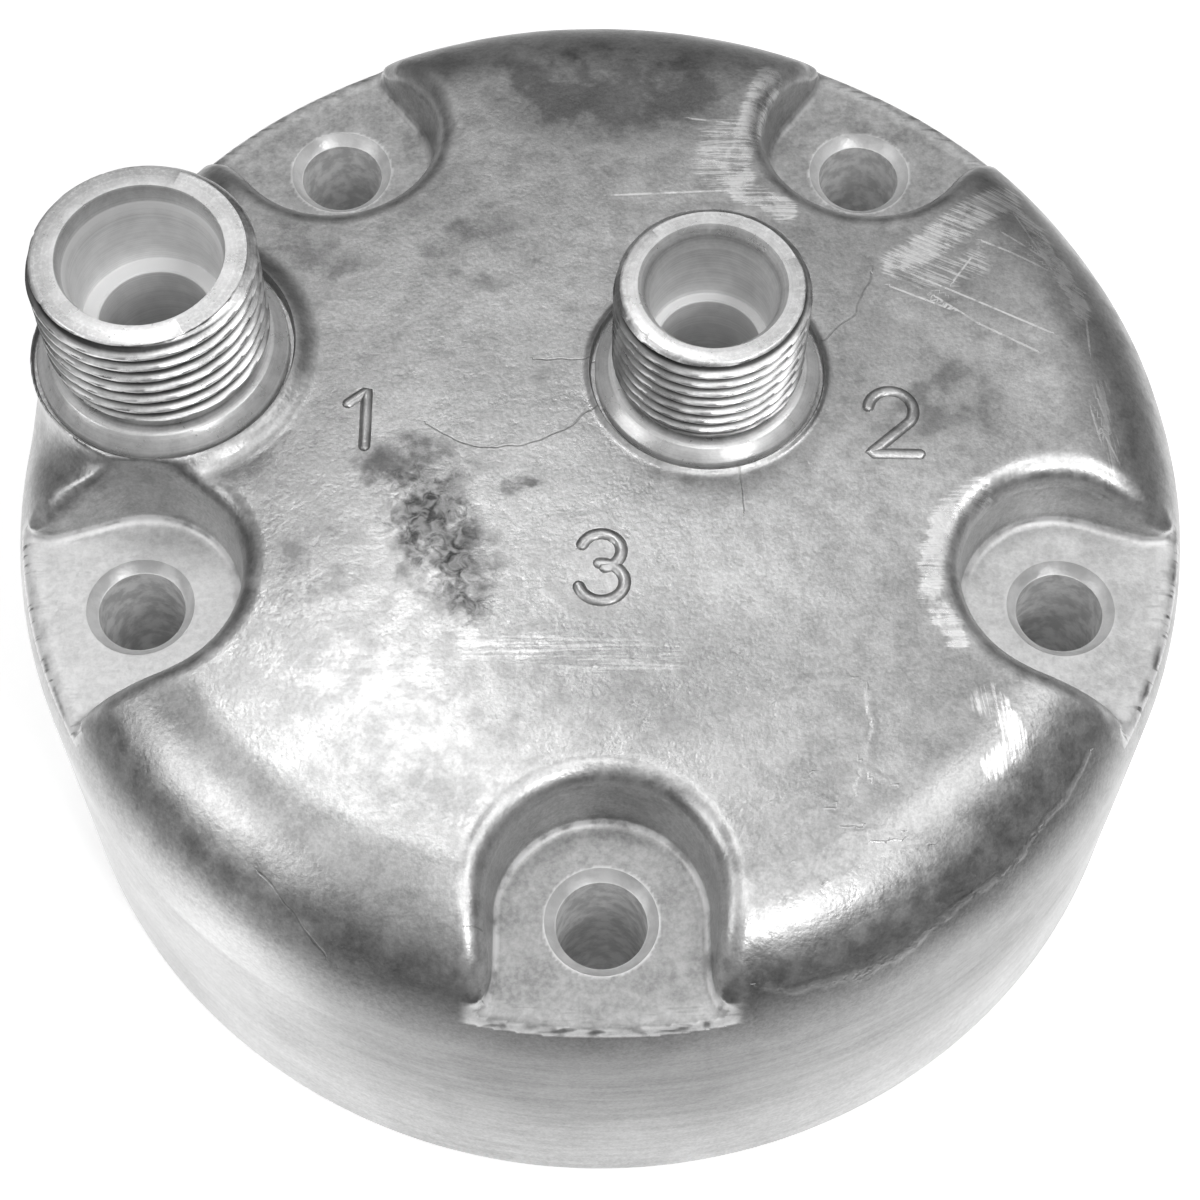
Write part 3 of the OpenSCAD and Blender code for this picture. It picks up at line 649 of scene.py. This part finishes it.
# Marks on the casting that are lines, as paths on the plan
LINES = {
    "hair": (
        ((1.2, 29.1), (14.1, 29.9)), ((9.5, 39.5), (14.1, 38.9)),
        ((30.6, 20.0), (45.5, 12.6)), ((29.7, 17.7), (35.9, 14.9)),
        ((34.1, 16.6), (38.3, 13.4), (43.8, 10.3)), ((39.5, 23.8), (49.9, 19.1)), ((41.7, 25.1), (45.6, 22.6)),
        ((36.0, 18.6), (38.5, 22.3)), ((10.4, 33.9), (14.8, 33.3)), ((11.6, 31.2), (15.4, 31.5)),
        ((49.7, 4.9), (50.6, 1.4)), ((49.8, 1.3), (51.2, -2.1)), ((48.9, 3.3), (49.5, 0.1)),
        ((43.3, 28.2), (46.7, 20.6), (48.6, 17.9), (49.6, 15.1), (49.5, 11.1)),
    ),
    "crack": (
        ((-0.1, 3.0), (-3.1, 0.7), (-6.0, -1.0), (-10.4, -2.2), (-14.4, -1.0), (-16.9, 0.8)),
        ((22.3, 11.0), (25.7, 14.4), (26.8, 17.4), (27.7, 19.4)),
        ((-6.3, 8.4), (-0.1, 8.6)), ((13.9, -8.9), (13.6, -3.8)),
        ((-11.5, -50.6), (-9.0, -50.9), (-6.6, -50.1)), ((-31.5, -45.0), (-28.0, -48.5), (-25.6, -51.5)),
    ),
    "wrinkle": (
        ((15.9, -39.1), (18.2, -38.1), (20.9, -39.1)), ((17.1, -42.5), (20.9, -40.6), (23.6, -41.2)),
        ((18.0, -44.9), (22.6, -42.4), (27.3, -41.7)), ((20.7, -46.5), (25.4, -43.6), (29.6, -42.8)),
        ((16.2, -29.1), (18.6, -27.1), (23.3, -26.6)), ((25.1, -28.0), (25.5, -32.1), (23.7, -38.1)),
        ((20.1, -36.2), (23.8, -35.6), (26.5, -37.1)),
    ),
    "flash": (
        ((14.4, -54.9), (18.1, -54.8), (24.7, -52.7), (28.9, -50.3), (33.2, -46.8), (38.2, -43.1), (42.1, -38.1),
         (46.3, -32.1)),
    ),
}


def near_line(x, y, paths):
    """Signed distance to the nearest path on the plan, and 1 close to it, so that thin lines stay thin."""
    best, side = np.full(len(x), 99.0), np.zeros(len(x))
    for path in paths:
        for (ax, ay), (bx, by) in zip(path, path[1:]):
            dx, dy = bx - ax, by - ay
            long = math.hypot(dx, dy)
            t = ((x - ax) * dx + (y - ay) * dy) / long ** 2
            off = ((x - ax) * dy - (y - ay) * dx) / long
            past = long * np.maximum(np.maximum(-t, t - 1), 0)
            far = np.hypot(off, past)
            m = far < best
            best[m], side[m] = far[m], np.copysign(far, off)[m]
    return np.clip(side, -1, 1) / 2 + 0.5, best < 0.8


def paint_casting(obj):
    """Marks where the casting is floor, hole, worn edge, stained or scraped, and where light and shade are painted,
    for its material.
    """
    x, y, z = points_of(obj.data).T
    r = np.hypot(x, y)
    u, v, seat = seat_frame(x, y)
    away, skin = seat_distance(x, y, z), body_distance(r, z)
    hole = np.hypot(u, v)
    outside = (skin > -2.6) & (z > 30)
    paint(obj, "floor", (np.abs(z - SEAT_Z) < 0.35) & (away < 0.4) & (hole > CHAMFER_R - 0.1))
    # painted light and shade: each seat's floor brighter or darker by its level
    paint(obj, "level", np.choose(seat, SEAT_FLOOR_LIGHT))
    # painted highlight along each seat's fillet
    edge = np.choose(seat, SEAT_FILLET_HIGHLIGHT) * step(0.03, 0.2, z - SEAT_Z) * step(0.95, 0.6, z - SEAT_Z)
    paint(obj, "fillet_highlight", edge * (away < 0.3) * (skin < -0.8) * (hole > CHAMFER_R + 0.15))
    # painted light: the bolt holes lightened and made mostly matte so that they read bright
    paint(obj, "bore", (hole < HOLE_R + 0.06) & (z < CHAMFER_Z + 0.25))
    paint(obj, "chamfer", (hole > HOLE_R - 0.1) & (hole < CHAMFER_R + 0.05) & (z > CHAMFER_Z - 0.05) & (z < 40.38))
    # painted highlight along the rounded top edge round each seat
    brow_highlight = step(3.0, 1.4, away) * step(-0.4, 0.5, away) * (z > 41.5) * outside
    lip = step(55.9, 56.9, r) * step(59.2, 58.5, r) * (np.abs(z - SEAT_Z) < 1.2) * step(13.4, 11.4, np.abs(v))
    ragged = rough(x, y, z, 1.6, 31)
    paint(obj, "brow_highlight", brow_highlight * (0.75 + 0.5 * ragged))
    paint(obj, "lip", lip * step(-0.6, 0.0, ragged))
    # painted shade: the front of the wall under the shoulder darkened, standing in for the dark floor that it
    # reflects
    front = step(0.6, 0.86, (0.26 * x - 0.966 * y) / np.maximum(r, 1))
    under = front * step(45, 40.5, z) * step(0, 34, z) * (skin > -0.6)
    paint(obj, "under", under * (1 - np.minimum(1.5 * lip, 1)))
    dark, pitted = np.zeros(len(x)), np.zeros(len(x))
    broken = rough(x, y, z, 3.5, 41, 4)
    for cx, cy, rx, ry, turn, much in STAINS:
        dark = np.maximum(dark, much * spot(x + 2 * broken, y - 2 * broken, cx, cy, rx, ry, turn))
    # painted light and shade in broad patches on the outside
    painted_light_and_shade = np.full(len(x), 0.5)
    for cx, cy, rx, ry, turn, much in PAINTED_LIGHT_PATCHES:
        painted_light_and_shade = painted_light_and_shade + much * spot(x, y, cx, cy, rx, ry, turn, 0.8) * outside
    paint(obj, "painted_light_and_shade", painted_light_and_shade)
    for way, places in SCRAPES.items():
        bright = np.zeros(len(x))
        for path, half, much in places:
            bright = np.maximum(bright, much * streak(x + 0.8 * ragged, y + 0.8 * ragged, path, half * 1.35))
        paint(obj, "scrape_%d" % -way, bright * outside)
    for cx, cy, rx, ry, turn, much in PITS:
        pitted = np.maximum(pitted, much * spot(x + broken, y + broken, cx, cy, rx, ry, turn))
    paint(obj, "pitted", pitted * outside)
    bent = [q + 0.45 * rough(x, y, z, 2.6, seed, 2) for q, seed in ((x, 51), (y, 52))]
    for name, paths in LINES.items():
        across, close = near_line(*((x, y) if name == "hair" else bent), paths)
        paint(obj, name + "_across", across)
        paint(obj, name + "_near", close * outside * (skin > -1.2))
    paint(obj, "stain", dark * outside * (0.6 + 0.4 * step(-0.45, 0.25, broken)))
    paint(obj, "wall", step(36, 30, z) * (skin > -0.6))


head = build_casting()
for number, x, y, size in ((1, -25.6, -1.6, 6.4), (2, 26.3, -2.3, 7.3), (3, -2.4, -18.8, 7.2)):
    for path in glyph(number, x, y, size):
        boolean(head, [stroke(path)], "UNION")
sharpen(head, 32)
paint_casting(head)
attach(head, "head")
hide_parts("head_casting")


# -------------------- the threaded fittings

FITTINGS = {
    "suction": dict(
        major=11.1, pitch=25.4 / 14, foot=53.2, top=65.4, neck=10.05, collar=12.6, collar_top=51.0, shank=10.0,
        mouth=[(8.14, 65.4), (7.98, 65.1), (7.75, 63.55), (7.72, 63.3), (7.3, 62.3)],
        bore=7.3, floor=54.7, passage=5.65),
    "discharge": dict(
        major=9.525, pitch=25.4 / 16, foot=51.9, top=63.9, neck=8.6, collar=11.2, collar_top=50.4, shank=8.6,
        mouth=[(7.19, 63.9), (7.05, 63.72), (6.5, 62.95), (6.45, 62.7), (6.0, 61.55)],
        bore=6.0, floor=54.0, passage=5.1),
}


def build_fitting(name):
    """A fitting as rings of points from its shank up outside, over the rim and down its bore."""
    f, port = FITTINGS[name], PORTS[name]
    steps = 288
    theta = 2 * np.pi * np.arange(steps) / steps
    shank, collar, neck, ledge, top = (f[key] for key in ("shank", "collar", "neck", "collar_top", "top"))
    major, mouth, bore, floor, passage = (f[key] for key in ("major", "mouth", "bore", "floor", "passage"))
    foot = f["foot"] - 0.95
    outside = [
        (shank, CEILING_Z), (shank, COLLAR_SEAT_Z), (collar - 0.1, COLLAR_SEAT_Z), (collar, COLLAR_SEAT_Z + 0.1),
        (collar, 49.5), (collar - 0.12, 49.68), (collar - 1.25, ledge - 0.12), (collar - 1.4, ledge),
        (neck + 0.35, ledge + 0.02), (neck + 0.1, ledge + 0.1), (neck, ledge + 0.35), (neck, foot - 0.05)]
    inside = mouth + [
        (bore, mouth[-1][1] - 0.12), (bore, floor + 0.1), (bore - 0.1, floor), (passage + 0.15, floor),
        (passage, floor - 0.15)]
    inside += [(passage + 0.02 * math.sin(z * 9), z) for z in np.linspace(floor - 0.6, CEILING_Z + 0.3, 14)]
    inside.append((passage, CEILING_Z))
    # each row is a radius, a height, and how much it has of the thread and of nicks
    levels = np.linspace(foot, top - 0.06, int((top - 0.06 - foot) / (f["pitch"] / 18)))
    rows = [(r, z, 0.0, 0.0) for r, z in outside]
    rows += [(major, z, 1.0, float(step(top - 1.3, top - 0.4, z))) for z in levels]
    rows += [(major - 0.92, top, 0.0, 1.0), (mouth[0][0] + 0.15, top, 0.0, 0.2)]
    rows += [(r, z, 0.0, 0.0) for r, z in inside]
    verts = []
    depth = 0.6134 * f["pitch"]
    for r, z, thread, nick in rows:
        rr = np.full(steps, r, float)
        if thread:
            w = np.abs((z / f["pitch"] - theta / (2 * np.pi)) % 1.0 - 0.5)
            groove = depth * np.clip((w - 0.085) / 0.30, 0, 1)
            rr = rr - groove
            rr = np.minimum(rr, neck + max(z - foot, 0))
            rr = np.minimum(rr, major - max(z - (top - 0.8), 0) * 1.05)
        if nick or thread:
            x, y = rr * np.cos(theta), rr * np.sin(theta)
            chip = np.maximum(noise(x, y, np.full(steps, z), 0.55, 21) - 0.55, 0)
            rr = rr - chip * (0.1 * thread + 0.16 * nick)
        verts.append(np.column_stack([
            port["x"] + rr * np.cos(theta), port["y"] + rr * np.sin(theta), np.full(steps, z)]))
    n = len(rows)
    verts = np.concatenate(verts)
    ids = np.arange(n * steps).reshape(n, steps)
    nxt = np.roll(ids, -1, 0)
    faces = np.stack([ids, np.roll(ids, -1, 1), np.roll(nxt, -1, 1), nxt], -1).reshape(-1, 4)
    obj = make_object(name + "_fitting", verts, [faces])
    sharpen(obj, 40)
    height = np.repeat([q[1] for q in rows], steps)
    paint(obj, "nick", np.repeat([q[3] for q in rows], steps))
    spread = verts - np.array([port["x"], port["y"], 0])
    reach = np.hypot(spread[:, 0], spread[:, 1])
    below_rim, outer = height < top - 0.7, reach > neck - 0.9
    # painted highlight on the crests and painted shade in the roots
    paint(obj, "crest_highlight", step(major - 0.35, major - 0.05, reach) * (height > foot))
    paint(obj, "root", step(major - 0.25, major - 0.75, reach) * (height > foot) * below_rim * outer)
    # painted shade: the left side of the outside above the collar darkened
    aside = (-0.94 * spread[:, 0] - 0.34 * spread[:, 1]) / np.maximum(reach, 1)
    paint(obj, "painted_side_shade", step(0.35, 0.95, aside) * outer * (height > ledge + 0.3) * below_rim)
    # painted light: the collar's faces and the rim lightened and made less metallic
    paint(obj, "face", ((reach > neck + 0.12) & (height < ledge + 0.2)) | (height > top - 0.2))
    # painted highlights: a ring in the bore below the mouth and one at the bore's floor
    rounded = (reach > bore + 0.05) & (reach < bore + 0.6) & (height < top - 2) & (height > top - 4)
    paint(obj, "ring", rounded | ((reach < bore - 0.05) & (np.abs(height - floor) < 0.2)))
    # painted light: the bore lightened and made almost matte so that it reads bright
    paint(obj, "inside", (reach < bore + 0.9) * step(top - 0.5, top - 4, height))
    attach(obj, "head")
    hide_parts(name + "_port_fitting")
    return obj


fittings = [build_fitting(name) for name in FITTINGS]


# -------------------- camera

camera = bpy.data.cameras.new("camera")
camera.sensor_width, camera.sensor_fit = 36.0, "HORIZONTAL"
camera.lens = 36.0 * 2578.224 / 1200
camera.clip_start, camera.clip_end = 0.01, 20
spin = Vector((2.65003, 0.0001, 0.00722))
turned = Matrix.Rotation(spin.length, 3, spin.normalized())
shift = Vector((-0.11346, 6.66437, 297.46162))
eye = -(turned.transposed() @ shift) * MM
view = bpy.data.objects.new("camera", camera)
view.matrix_world = Matrix.Translation(eye) @ (turned.transposed() @ Matrix.Diagonal((1, -1, -1))).to_4x4()
bpy.context.scene.collection.objects.link(view)
bpy.context.scene.camera = view


# -------------------- materials

class Shade:
    """A node material on one Principled shader. Sizes are millimetres in the part's frame."""

    def __init__(self, name, **sockets):
        self.mat = bpy.data.materials.new(name)
        self.mat.use_nodes = True
        self.tree = self.mat.node_tree
        self.shader = self.tree.nodes["Principled BSDF"]
        for key, value in sockets.items():
            self.shader.inputs[key.replace("_", " ")].default_value = value
        self.place = self.add("ShaderNodeTexCoord").outputs["Object"]

    def add(self, kind, **settings):
        node = self.tree.nodes.new(kind)
        for key, value in settings.items():
            setattr(node, key, value)
        return node

    def put(self, socket, value):
        if isinstance(value, bpy.types.NodeSocket):
            self.tree.links.new(value, socket)
        else:
            socket.default_value = value

    def math(self, op, a, b=0.0, c=0.0, clamp=False):
        node = self.add("ShaderNodeMath", operation=op, use_clamp=clamp)
        for socket, value in zip(node.inputs, (a, b, c)):
            self.put(socket, value)
        return node.outputs[0]

    def plus(self, a, b):
        return self.math("ADD", a, b)

    def times(self, a, b):
        return self.math("MULTIPLY", a, b)

    def most(self, a, b):
        return self.math("MAXIMUM", a, b)

    def vary(self, noise, low, high):
        """The middle range of a noise as low to high."""
        return self.span(noise, 0.3, 0.7, low, high)

    def span(self, value, low, high, out_low=0.0, out_high=1.0):
        node = self.add("ShaderNodeMapRange", interpolation_type="SMOOTHSTEP")
        for socket, v in zip(node.inputs, (value, low, high, out_low, out_high)):
            self.put(socket, v)
        return node.outputs[0]

    def mix(self, share, a, b):
        node = self.add("ShaderNodeMix", data_type="FLOAT")
        for socket, value in zip(node.inputs, (share, None, a, b)):
            if value is not None:
                self.put(socket, value)
        return node.outputs[0]

    def vector(self, op, a, b=None):
        node = self.add("ShaderNodeVectorMath", operation=op)
        self.put(node.inputs[0], a)
        if b is not None:
            self.put(node.inputs[1], b)
        return node.outputs["Value" if op in ("DISTANCE", "LENGTH") else "Vector"]

    def mapped(self, kind, scale, turn=0.0):
        """The place scaled, and turned over the plan."""
        node = self.add("ShaderNodeMapping", vector_type=kind)
        self.put(node.inputs["Vector"], self.place)
        node.inputs["Scale"].default_value = scale
        node.inputs["Rotation"].default_value = (0, 0, math.radians(turn))
        return node.outputs[0]

    def grain(self, along, across, turn):
        """Noise drawn out into lines that run at an angle over the plan."""
        scale = (along * MM, across * MM, along * MM)
        return self.noise(1000.0, 1.0, 0.6, self.mapped("TEXTURE", scale, turn))

    def line(self, name, half, soft):
        """1 along the painted lines of one kind, half a width each way and fading over soft millimetres."""
        across = self.math("ABSOLUTE", self.math("MULTIPLY_ADD", self.attr(name + "_across"), 2.0, -1.0))
        return self.times(self.span(across, half, half + soft, 1.0, 0.0), self.attr(name + "_near"))

    def noise(self, size, detail=3.0, rough=0.55, where=None, warp=0.0):
        node = self.add("ShaderNodeTexNoise")
        self.put(node.inputs["Vector"], where or self.place)
        for key, value in (("Scale", 1000.0 / size), ("Detail", detail), ("Roughness", rough), ("Distortion", warp)):
            node.inputs[key].default_value = value
        return node.outputs["Fac"]

    def attr(self, name):
        return self.add("ShaderNodeAttribute", attribute_name=name).outputs["Fac"]

    def bump(self, height, strength, distance, below=None):
        node = self.add("ShaderNodeBump")
        node.inputs["Strength"].default_value = strength
        node.inputs["Distance"].default_value = distance * MM
        self.put(node.inputs["Height"], height)
        if below is not None:
            self.put(node.inputs["Normal"], below)
        return node.outputs[0]

    def grey(self, value):
        node = self.add("ShaderNodeCombineColor")
        for socket in node.inputs:
            self.put(socket, value)
        return node.outputs[0]

    def finish(self, tone, roughness=None, normal=None):
        for key, value in (("Base Color", self.grey(tone)), ("Roughness", roughness), ("Normal", normal)):
            if value is not None:
                self.put(self.shader.inputs[key], value)
        return self.mat


def cast_skin():
    s = Shade("cast_skin", Metallic=0.92)
    wide, mid = s.noise(13, 4, 0.62), s.noise(2.6, 4, 0.62)
    fine, speck = s.noise(0.5, 2, 0.6), s.noise(0.24, 1, 0.5)

    # mottled base, its stains and the pitted patch
    tone = s.vary(wide, 0.43, 0.55)
    for grit, much in ((mid, 0.06), (fine, 0.045), (speck, 0.03)):
        tone = s.plus(tone, s.vary(grit, -much, much))
    # painted light and shade in broad patches
    tone = s.times(tone, s.plus(s.attr("painted_light_and_shade"), 0.5))
    stain = s.span(s.plus(s.attr("stain"), s.vary(mid, -0.22, 0.22)), -0.05, 1.05)
    tone = s.times(tone, s.span(stain, 0, 1, 1.0, 0.36))
    pits, blot = s.attr("pitted"), s.noise(1.3, 2, 0.6, warp=0.8)
    tone = s.plus(tone, s.times(pits, s.span(blot, 0.36, 0.66, -0.13, 0.14)))

    # worn places
    bright = None
    for way in SCRAPES:
        hairs = s.plus(s.grain(7.0, 0.3, way), s.times(s.grain(2.2, 0.16, way + 8), 0.35))
        mark = s.attr("scrape_%d" % -way)
        core = s.times(s.span(mark, 0.45, 0.95, 0.0, 0.55), s.span(mid, 0.36, 0.58))
        mark = s.times(s.span(mark, 0.05, 0.75), s.plus(s.times(s.span(hairs, 0.62, 0.76), 0.75), core))
        bright = mark if bright is None else s.most(bright, mark)
    broken = s.span(s.noise(1.5, 2, 0.6), 0.36, 0.5, 0.25, 1.0)
    bright = s.most(bright, s.times(s.line("hair", 0.05, 0.12), broken))
    # painted highlight on the seats' rounded top edges
    brow_highlight = s.times(s.attr("brow_highlight"), s.span(mid, 0.3, 0.62, 0.35, 1.0))
    lip = s.times(s.attr("lip"), s.span(s.grain(3.0, 0.5, 0), 0.3, 0.45))
    for mark, much in ((bright, 0.55), (brow_highlight, 0.2), (lip, 0.5)):
        tone = s.plus(tone, s.times(mark, much))
    thin, fold = s.line("crack", 0.03, 0.12), s.line("wrinkle", 0.05, 0.6)
    tone = s.times(tone, s.span(thin, 0, 1, 1.0, 0.72))
    ridge = s.times(s.line("flash", 0.08, 0.32), broken)
    tone = s.plus(tone, s.times(ridge, 0.16))
    # painted shade under the front of the shoulder
    tone = s.times(tone, s.span(s.attr("under"), 0, 1, 1.0, 0.57))

    # machined seats, chamfers and holes
    floor, bore, chamfer = s.attr("floor"), s.attr("bore"), s.attr("chamfer")
    # painted light and shade: each seat's floor brighter or darker by its level
    worked = s.plus(s.times(s.attr("level"), 0.38), s.vary(fine, 0.35, 0.46))
    worked = s.plus(worked, s.vary(mid, -0.1, 0.1))
    tone = s.mix(s.times(floor, 0.8), tone, worked)
    # painted highlight on the seats' fillets
    fillet_highlight = s.times(s.attr("fillet_highlight"), s.span(mid, 0.32, 0.55, 0.3, 1.0))
    tone = s.mix(fillet_highlight, tone, 0.95)
    tone = s.mix(chamfer, tone, s.vary(mid, 0.6, 0.8))
    # painted light in the bolt holes
    tone = s.mix(bore, tone, s.span(s.noise(1.6, 3, 0.6), 0.35, 0.65, 0.61, 0.9))
    wall, streaks = s.attr("wall"), s.noise(1.0, 3, 0.6, s.mapped("POINT", (0.07, 0.07, 0.9)))
    tone = s.plus(tone, s.times(wall, s.vary(streaks, -0.035, 0.04)))

    roughness = s.plus(s.vary(mid, 0.30, 0.42), s.times(stain, 0.08))
    roughness = s.math("SUBTRACT", roughness, s.times(bright, 0.08))
    roughness = s.mix(s.most(floor, bore), roughness, s.vary(mid, 0.46, 0.56))
    soft = s.most(s.times(bore, 0.8), s.times(s.most(chamfer, s.most(lip, fillet_highlight)), 0.55))
    s.put(s.shader.inputs["Metallic"], s.math("SUBTRACT", 0.92, soft))

    lines = s.math("SUBTRACT", s.plus(s.times(fold, 0.7), ridge), s.times(thin, 0.5))
    normal = None
    for height, strength, distance in (
            (mid, 0.55, 0.11), (fine, 0.5, 0.045), (lines, 1.0, 0.035), (s.times(pits, blot), 1.0, 0.05),
            (s.times(wall, streaks), 0.5, 0.035)):
        normal = s.bump(height, strength, distance, normal)
    return s.finish(tone, roughness, normal)


def fitting_metal(name):
    """Turned aluminium: fine rings round the port's axis, a painted highlight on the thread's crests and painted
    shade in its roots.
    """
    port = PORTS[name]
    s = Shade("turned_" + name, Metallic=1.0)
    mid, fine = s.noise(2.2, 3, 0.6), s.noise(0.35, 2, 0.6)
    offset = s.vector("SUBTRACT", s.place, (port["x"] * MM, port["y"] * MM, 0))
    split = s.add("ShaderNodeSeparateXYZ")
    s.put(split.inputs[0], offset)
    both = s.add("ShaderNodeCombineXYZ")
    s.put(both.inputs["X"], s.vector("LENGTH", s.vector("MULTIPLY", offset, (1, 1, 0))))
    s.put(both.inputs["Y"], split.outputs["Z"])
    rings = s.noise(0.22, 2, 0.7, both.outputs[0])
    root, inside, face = s.attr("root"), s.attr("inside"), s.attr("face")
    tone = s.plus(s.vary(mid, 0.56, 0.68), s.vary(rings, -0.06, 0.06))
    tone = s.plus(tone, s.vary(fine, -0.035, 0.035))
    # painted highlight on the thread's crests
    tone = s.plus(tone, s.times(s.attr("crest_highlight"), s.vary(mid, 0.12, 0.34)))
    tone = s.plus(tone, s.times(s.attr("nick"), s.span(fine, 0.52, 0.62, 0.0, 0.12)))
    # painted light on the collar and the rim
    tone = s.plus(tone, s.times(face, 0.16))
    # painted shade in the thread's roots
    tone = s.times(tone, s.span(root, 0, 1, 1.0, 0.14))
    # painted shade on the left side of the fitting
    tone = s.times(tone, s.span(s.attr("painted_side_shade"), 0, 1, 1.0, 0.5))
    # painted light in the bore
    tone = s.mix(inside, tone, s.plus(s.vary(mid, 0.8, 0.9), s.vary(rings, -0.07, 0.05)))
    # painted highlight rings in the bore
    tone = s.mix(s.attr("ring"), tone, 0.98)
    roughness = s.plus(s.vary(mid, 0.26, 0.36), s.times(s.most(root, inside), 0.2))
    soft = s.most(s.times(inside, 0.88), s.times(face, 0.45))
    s.put(s.shader.inputs["Metallic"], s.math("SUBTRACT", 1.0, soft))
    return s.finish(tone, roughness, s.bump(fine, 0.35, 0.02, s.bump(rings, 0.5, 0.02)))


def turned_metal(name, low, high, roughness=0.3):
    s = Shade(name, Metallic=1.0)
    fine, mid = s.noise(0.4, 2, 0.6), s.noise(2.5, 3, 0.6)
    tone = s.plus(s.vary(mid, low, high), s.vary(fine, -0.03, 0.03))
    return s.finish(tone, s.vary(mid, roughness - 0.05, roughness + 0.08), s.bump(fine, 0.2, 0.02))


def dress(obj, material):
    obj.data.materials.clear()
    obj.data.materials.append(material)


dress(head, cast_skin())
for obj, name in zip(fittings, FITTINGS):
    dress(obj, fitting_metal(name))
finishes = {
    "gasket": turned_metal("gasket_sheet", 0.06, 0.1, 0.5),
    "plate_steel": turned_metal("ground_steel", 0.4, 0.5),
    "spring_steel": turned_metal("spring_steel", 0.38, 0.46),
    "fastener_steel": turned_metal("dark_steel", 0.2, 0.3),
    "hardened_steel": turned_metal("pin_steel", 0.5, 0.6),
    "cast_aluminium": turned_metal("plain_aluminium", 0.5, 0.6),
    "machined_aluminium": turned_metal("plain_turned", 0.5, 0.6),
}
for part in frame["record"]["subparts"]:
    node = frame["nodes"][part["node"]]
    for k in range(max(len(node.material_slots), 1)):
        if len(node.material_slots) <= k:
            node.data.materials.append(finishes[part["material_slot"]])
        else:
            node.material_slots[k].material = finishes[part["material_slot"]]


# -------------------- floor and light

HOLE_UNDER_R, FLOOR_R = 58.4, 4000


def build_stage():
    """A floor that is open under the skirt, so that the valves show from below."""
    steps = 96
    a = 2 * np.pi * np.arange(steps) / steps
    verts = [(r * math.cos(t), r * math.sin(t), 0) for r in (HOLE_UNDER_R, FLOOR_R) for t in a]
    faces = [(k, steps + k, steps + (k + 1) % steps, (k + 1) % steps) for k in range(steps)]
    floor = make_object("floor", verts, faces, smooth=False)
    s = Shade("paper", Roughness=0.8)
    # painted light: the floor's colour darkens further out and its glow for the camera makes up for it; near the
    # casting it glows in reflections, darkened by a painted shadow in front of the casting
    away = s.span(s.vector("LENGTH", s.place), 0.07, 0.2)
    mat = s.finish(s.math("SUBTRACT", s.vary(s.noise(300), 0.94, 0.97), s.times(away, 0.6)))
    path = s.add("ShaderNodeLightPath")
    mirror = s.math("ADD", path.outputs["Is Glossy Ray"], path.outputs["Is Transmission Ray"], clamp=True)
    seen = s.times(path.outputs["Is Camera Ray"], s.span(away, 0, 1, 0.42, 1.0))
    shade = s.span(s.vector("DISTANCE", s.place, (0.0, -0.105, 0.0)), 0.015, 0.07, 0.25, 1.0)
    glow = s.plus(seen, s.times(s.times(mirror, shade), s.span(away, 0, 1, 0.7, 0.0)))
    s.shader.inputs["Emission Color"].default_value = (1, 1, 1, 1)
    s.put(s.shader.inputs["Emission Strength"], glow)
    dress(floor, mat)


build_stage()


def lamp(name, direction, distance, size, power):
    """A round lamp that faces the middle of the casting."""
    light = bpy.data.lights.new(name, "AREA")
    light.shape, light.size, light.energy = "DISK", size, power
    obj = bpy.data.objects.new(name, light)
    d = Vector(direction).normalized()
    obj.location = d * distance + Vector((0, 0, 0.04))
    obj.rotation_mode = "QUATERNION"
    obj.rotation_quaternion = d.to_track_quat("Z", "Y")
    bpy.context.scene.collection.objects.link(obj)


lamp("overhead", (-0.115, 0.335, 0.935), 1.3, 0.26, 1.5)
lamp("flash", (0.39, -0.57, 0.72), 1.2, 0.2, 2.4)
lamp("front", (0.04, -0.26, 0.965), 1.2, 0.3, 0.95)
lamp("left", (-0.78, -0.24, 0.58), 1.1, 0.5, 1.35)
lamp("right", (0.55, -0.02, 0.83), 1.1, 0.5, 1.4)


def build_world():
    """A room that is brightest straight above and straight below."""
    world = bpy.data.worlds.new("room")
    bpy.context.scene.world = world
    world.use_nodes = True
    tree = world.node_tree
    back = tree.nodes["Background"]
    back.inputs["Color"].default_value = (1, 1, 1, 1)
    kinds = ("TexCoord", "SeparateXYZ", "Math", "Math")
    place, split, square, level = (tree.nodes.new("ShaderNode" + kind) for kind in kinds)
    square.operation, level.operation = "MULTIPLY", "MULTIPLY_ADD"
    level.inputs[1].default_value, level.inputs[2].default_value = 0.74, 0.07
    up = split.outputs["Z"]
    for source, socket in (
            (place.outputs["Generated"], split.inputs[0]), (up, square.inputs[0]), (up, square.inputs[1]),
            (square.outputs[0], level.inputs[0]), (level.outputs[0], back.inputs["Strength"])):
        tree.links.new(source, socket)


build_world()

bpy.context.scene.view_settings.view_transform = "Standard"
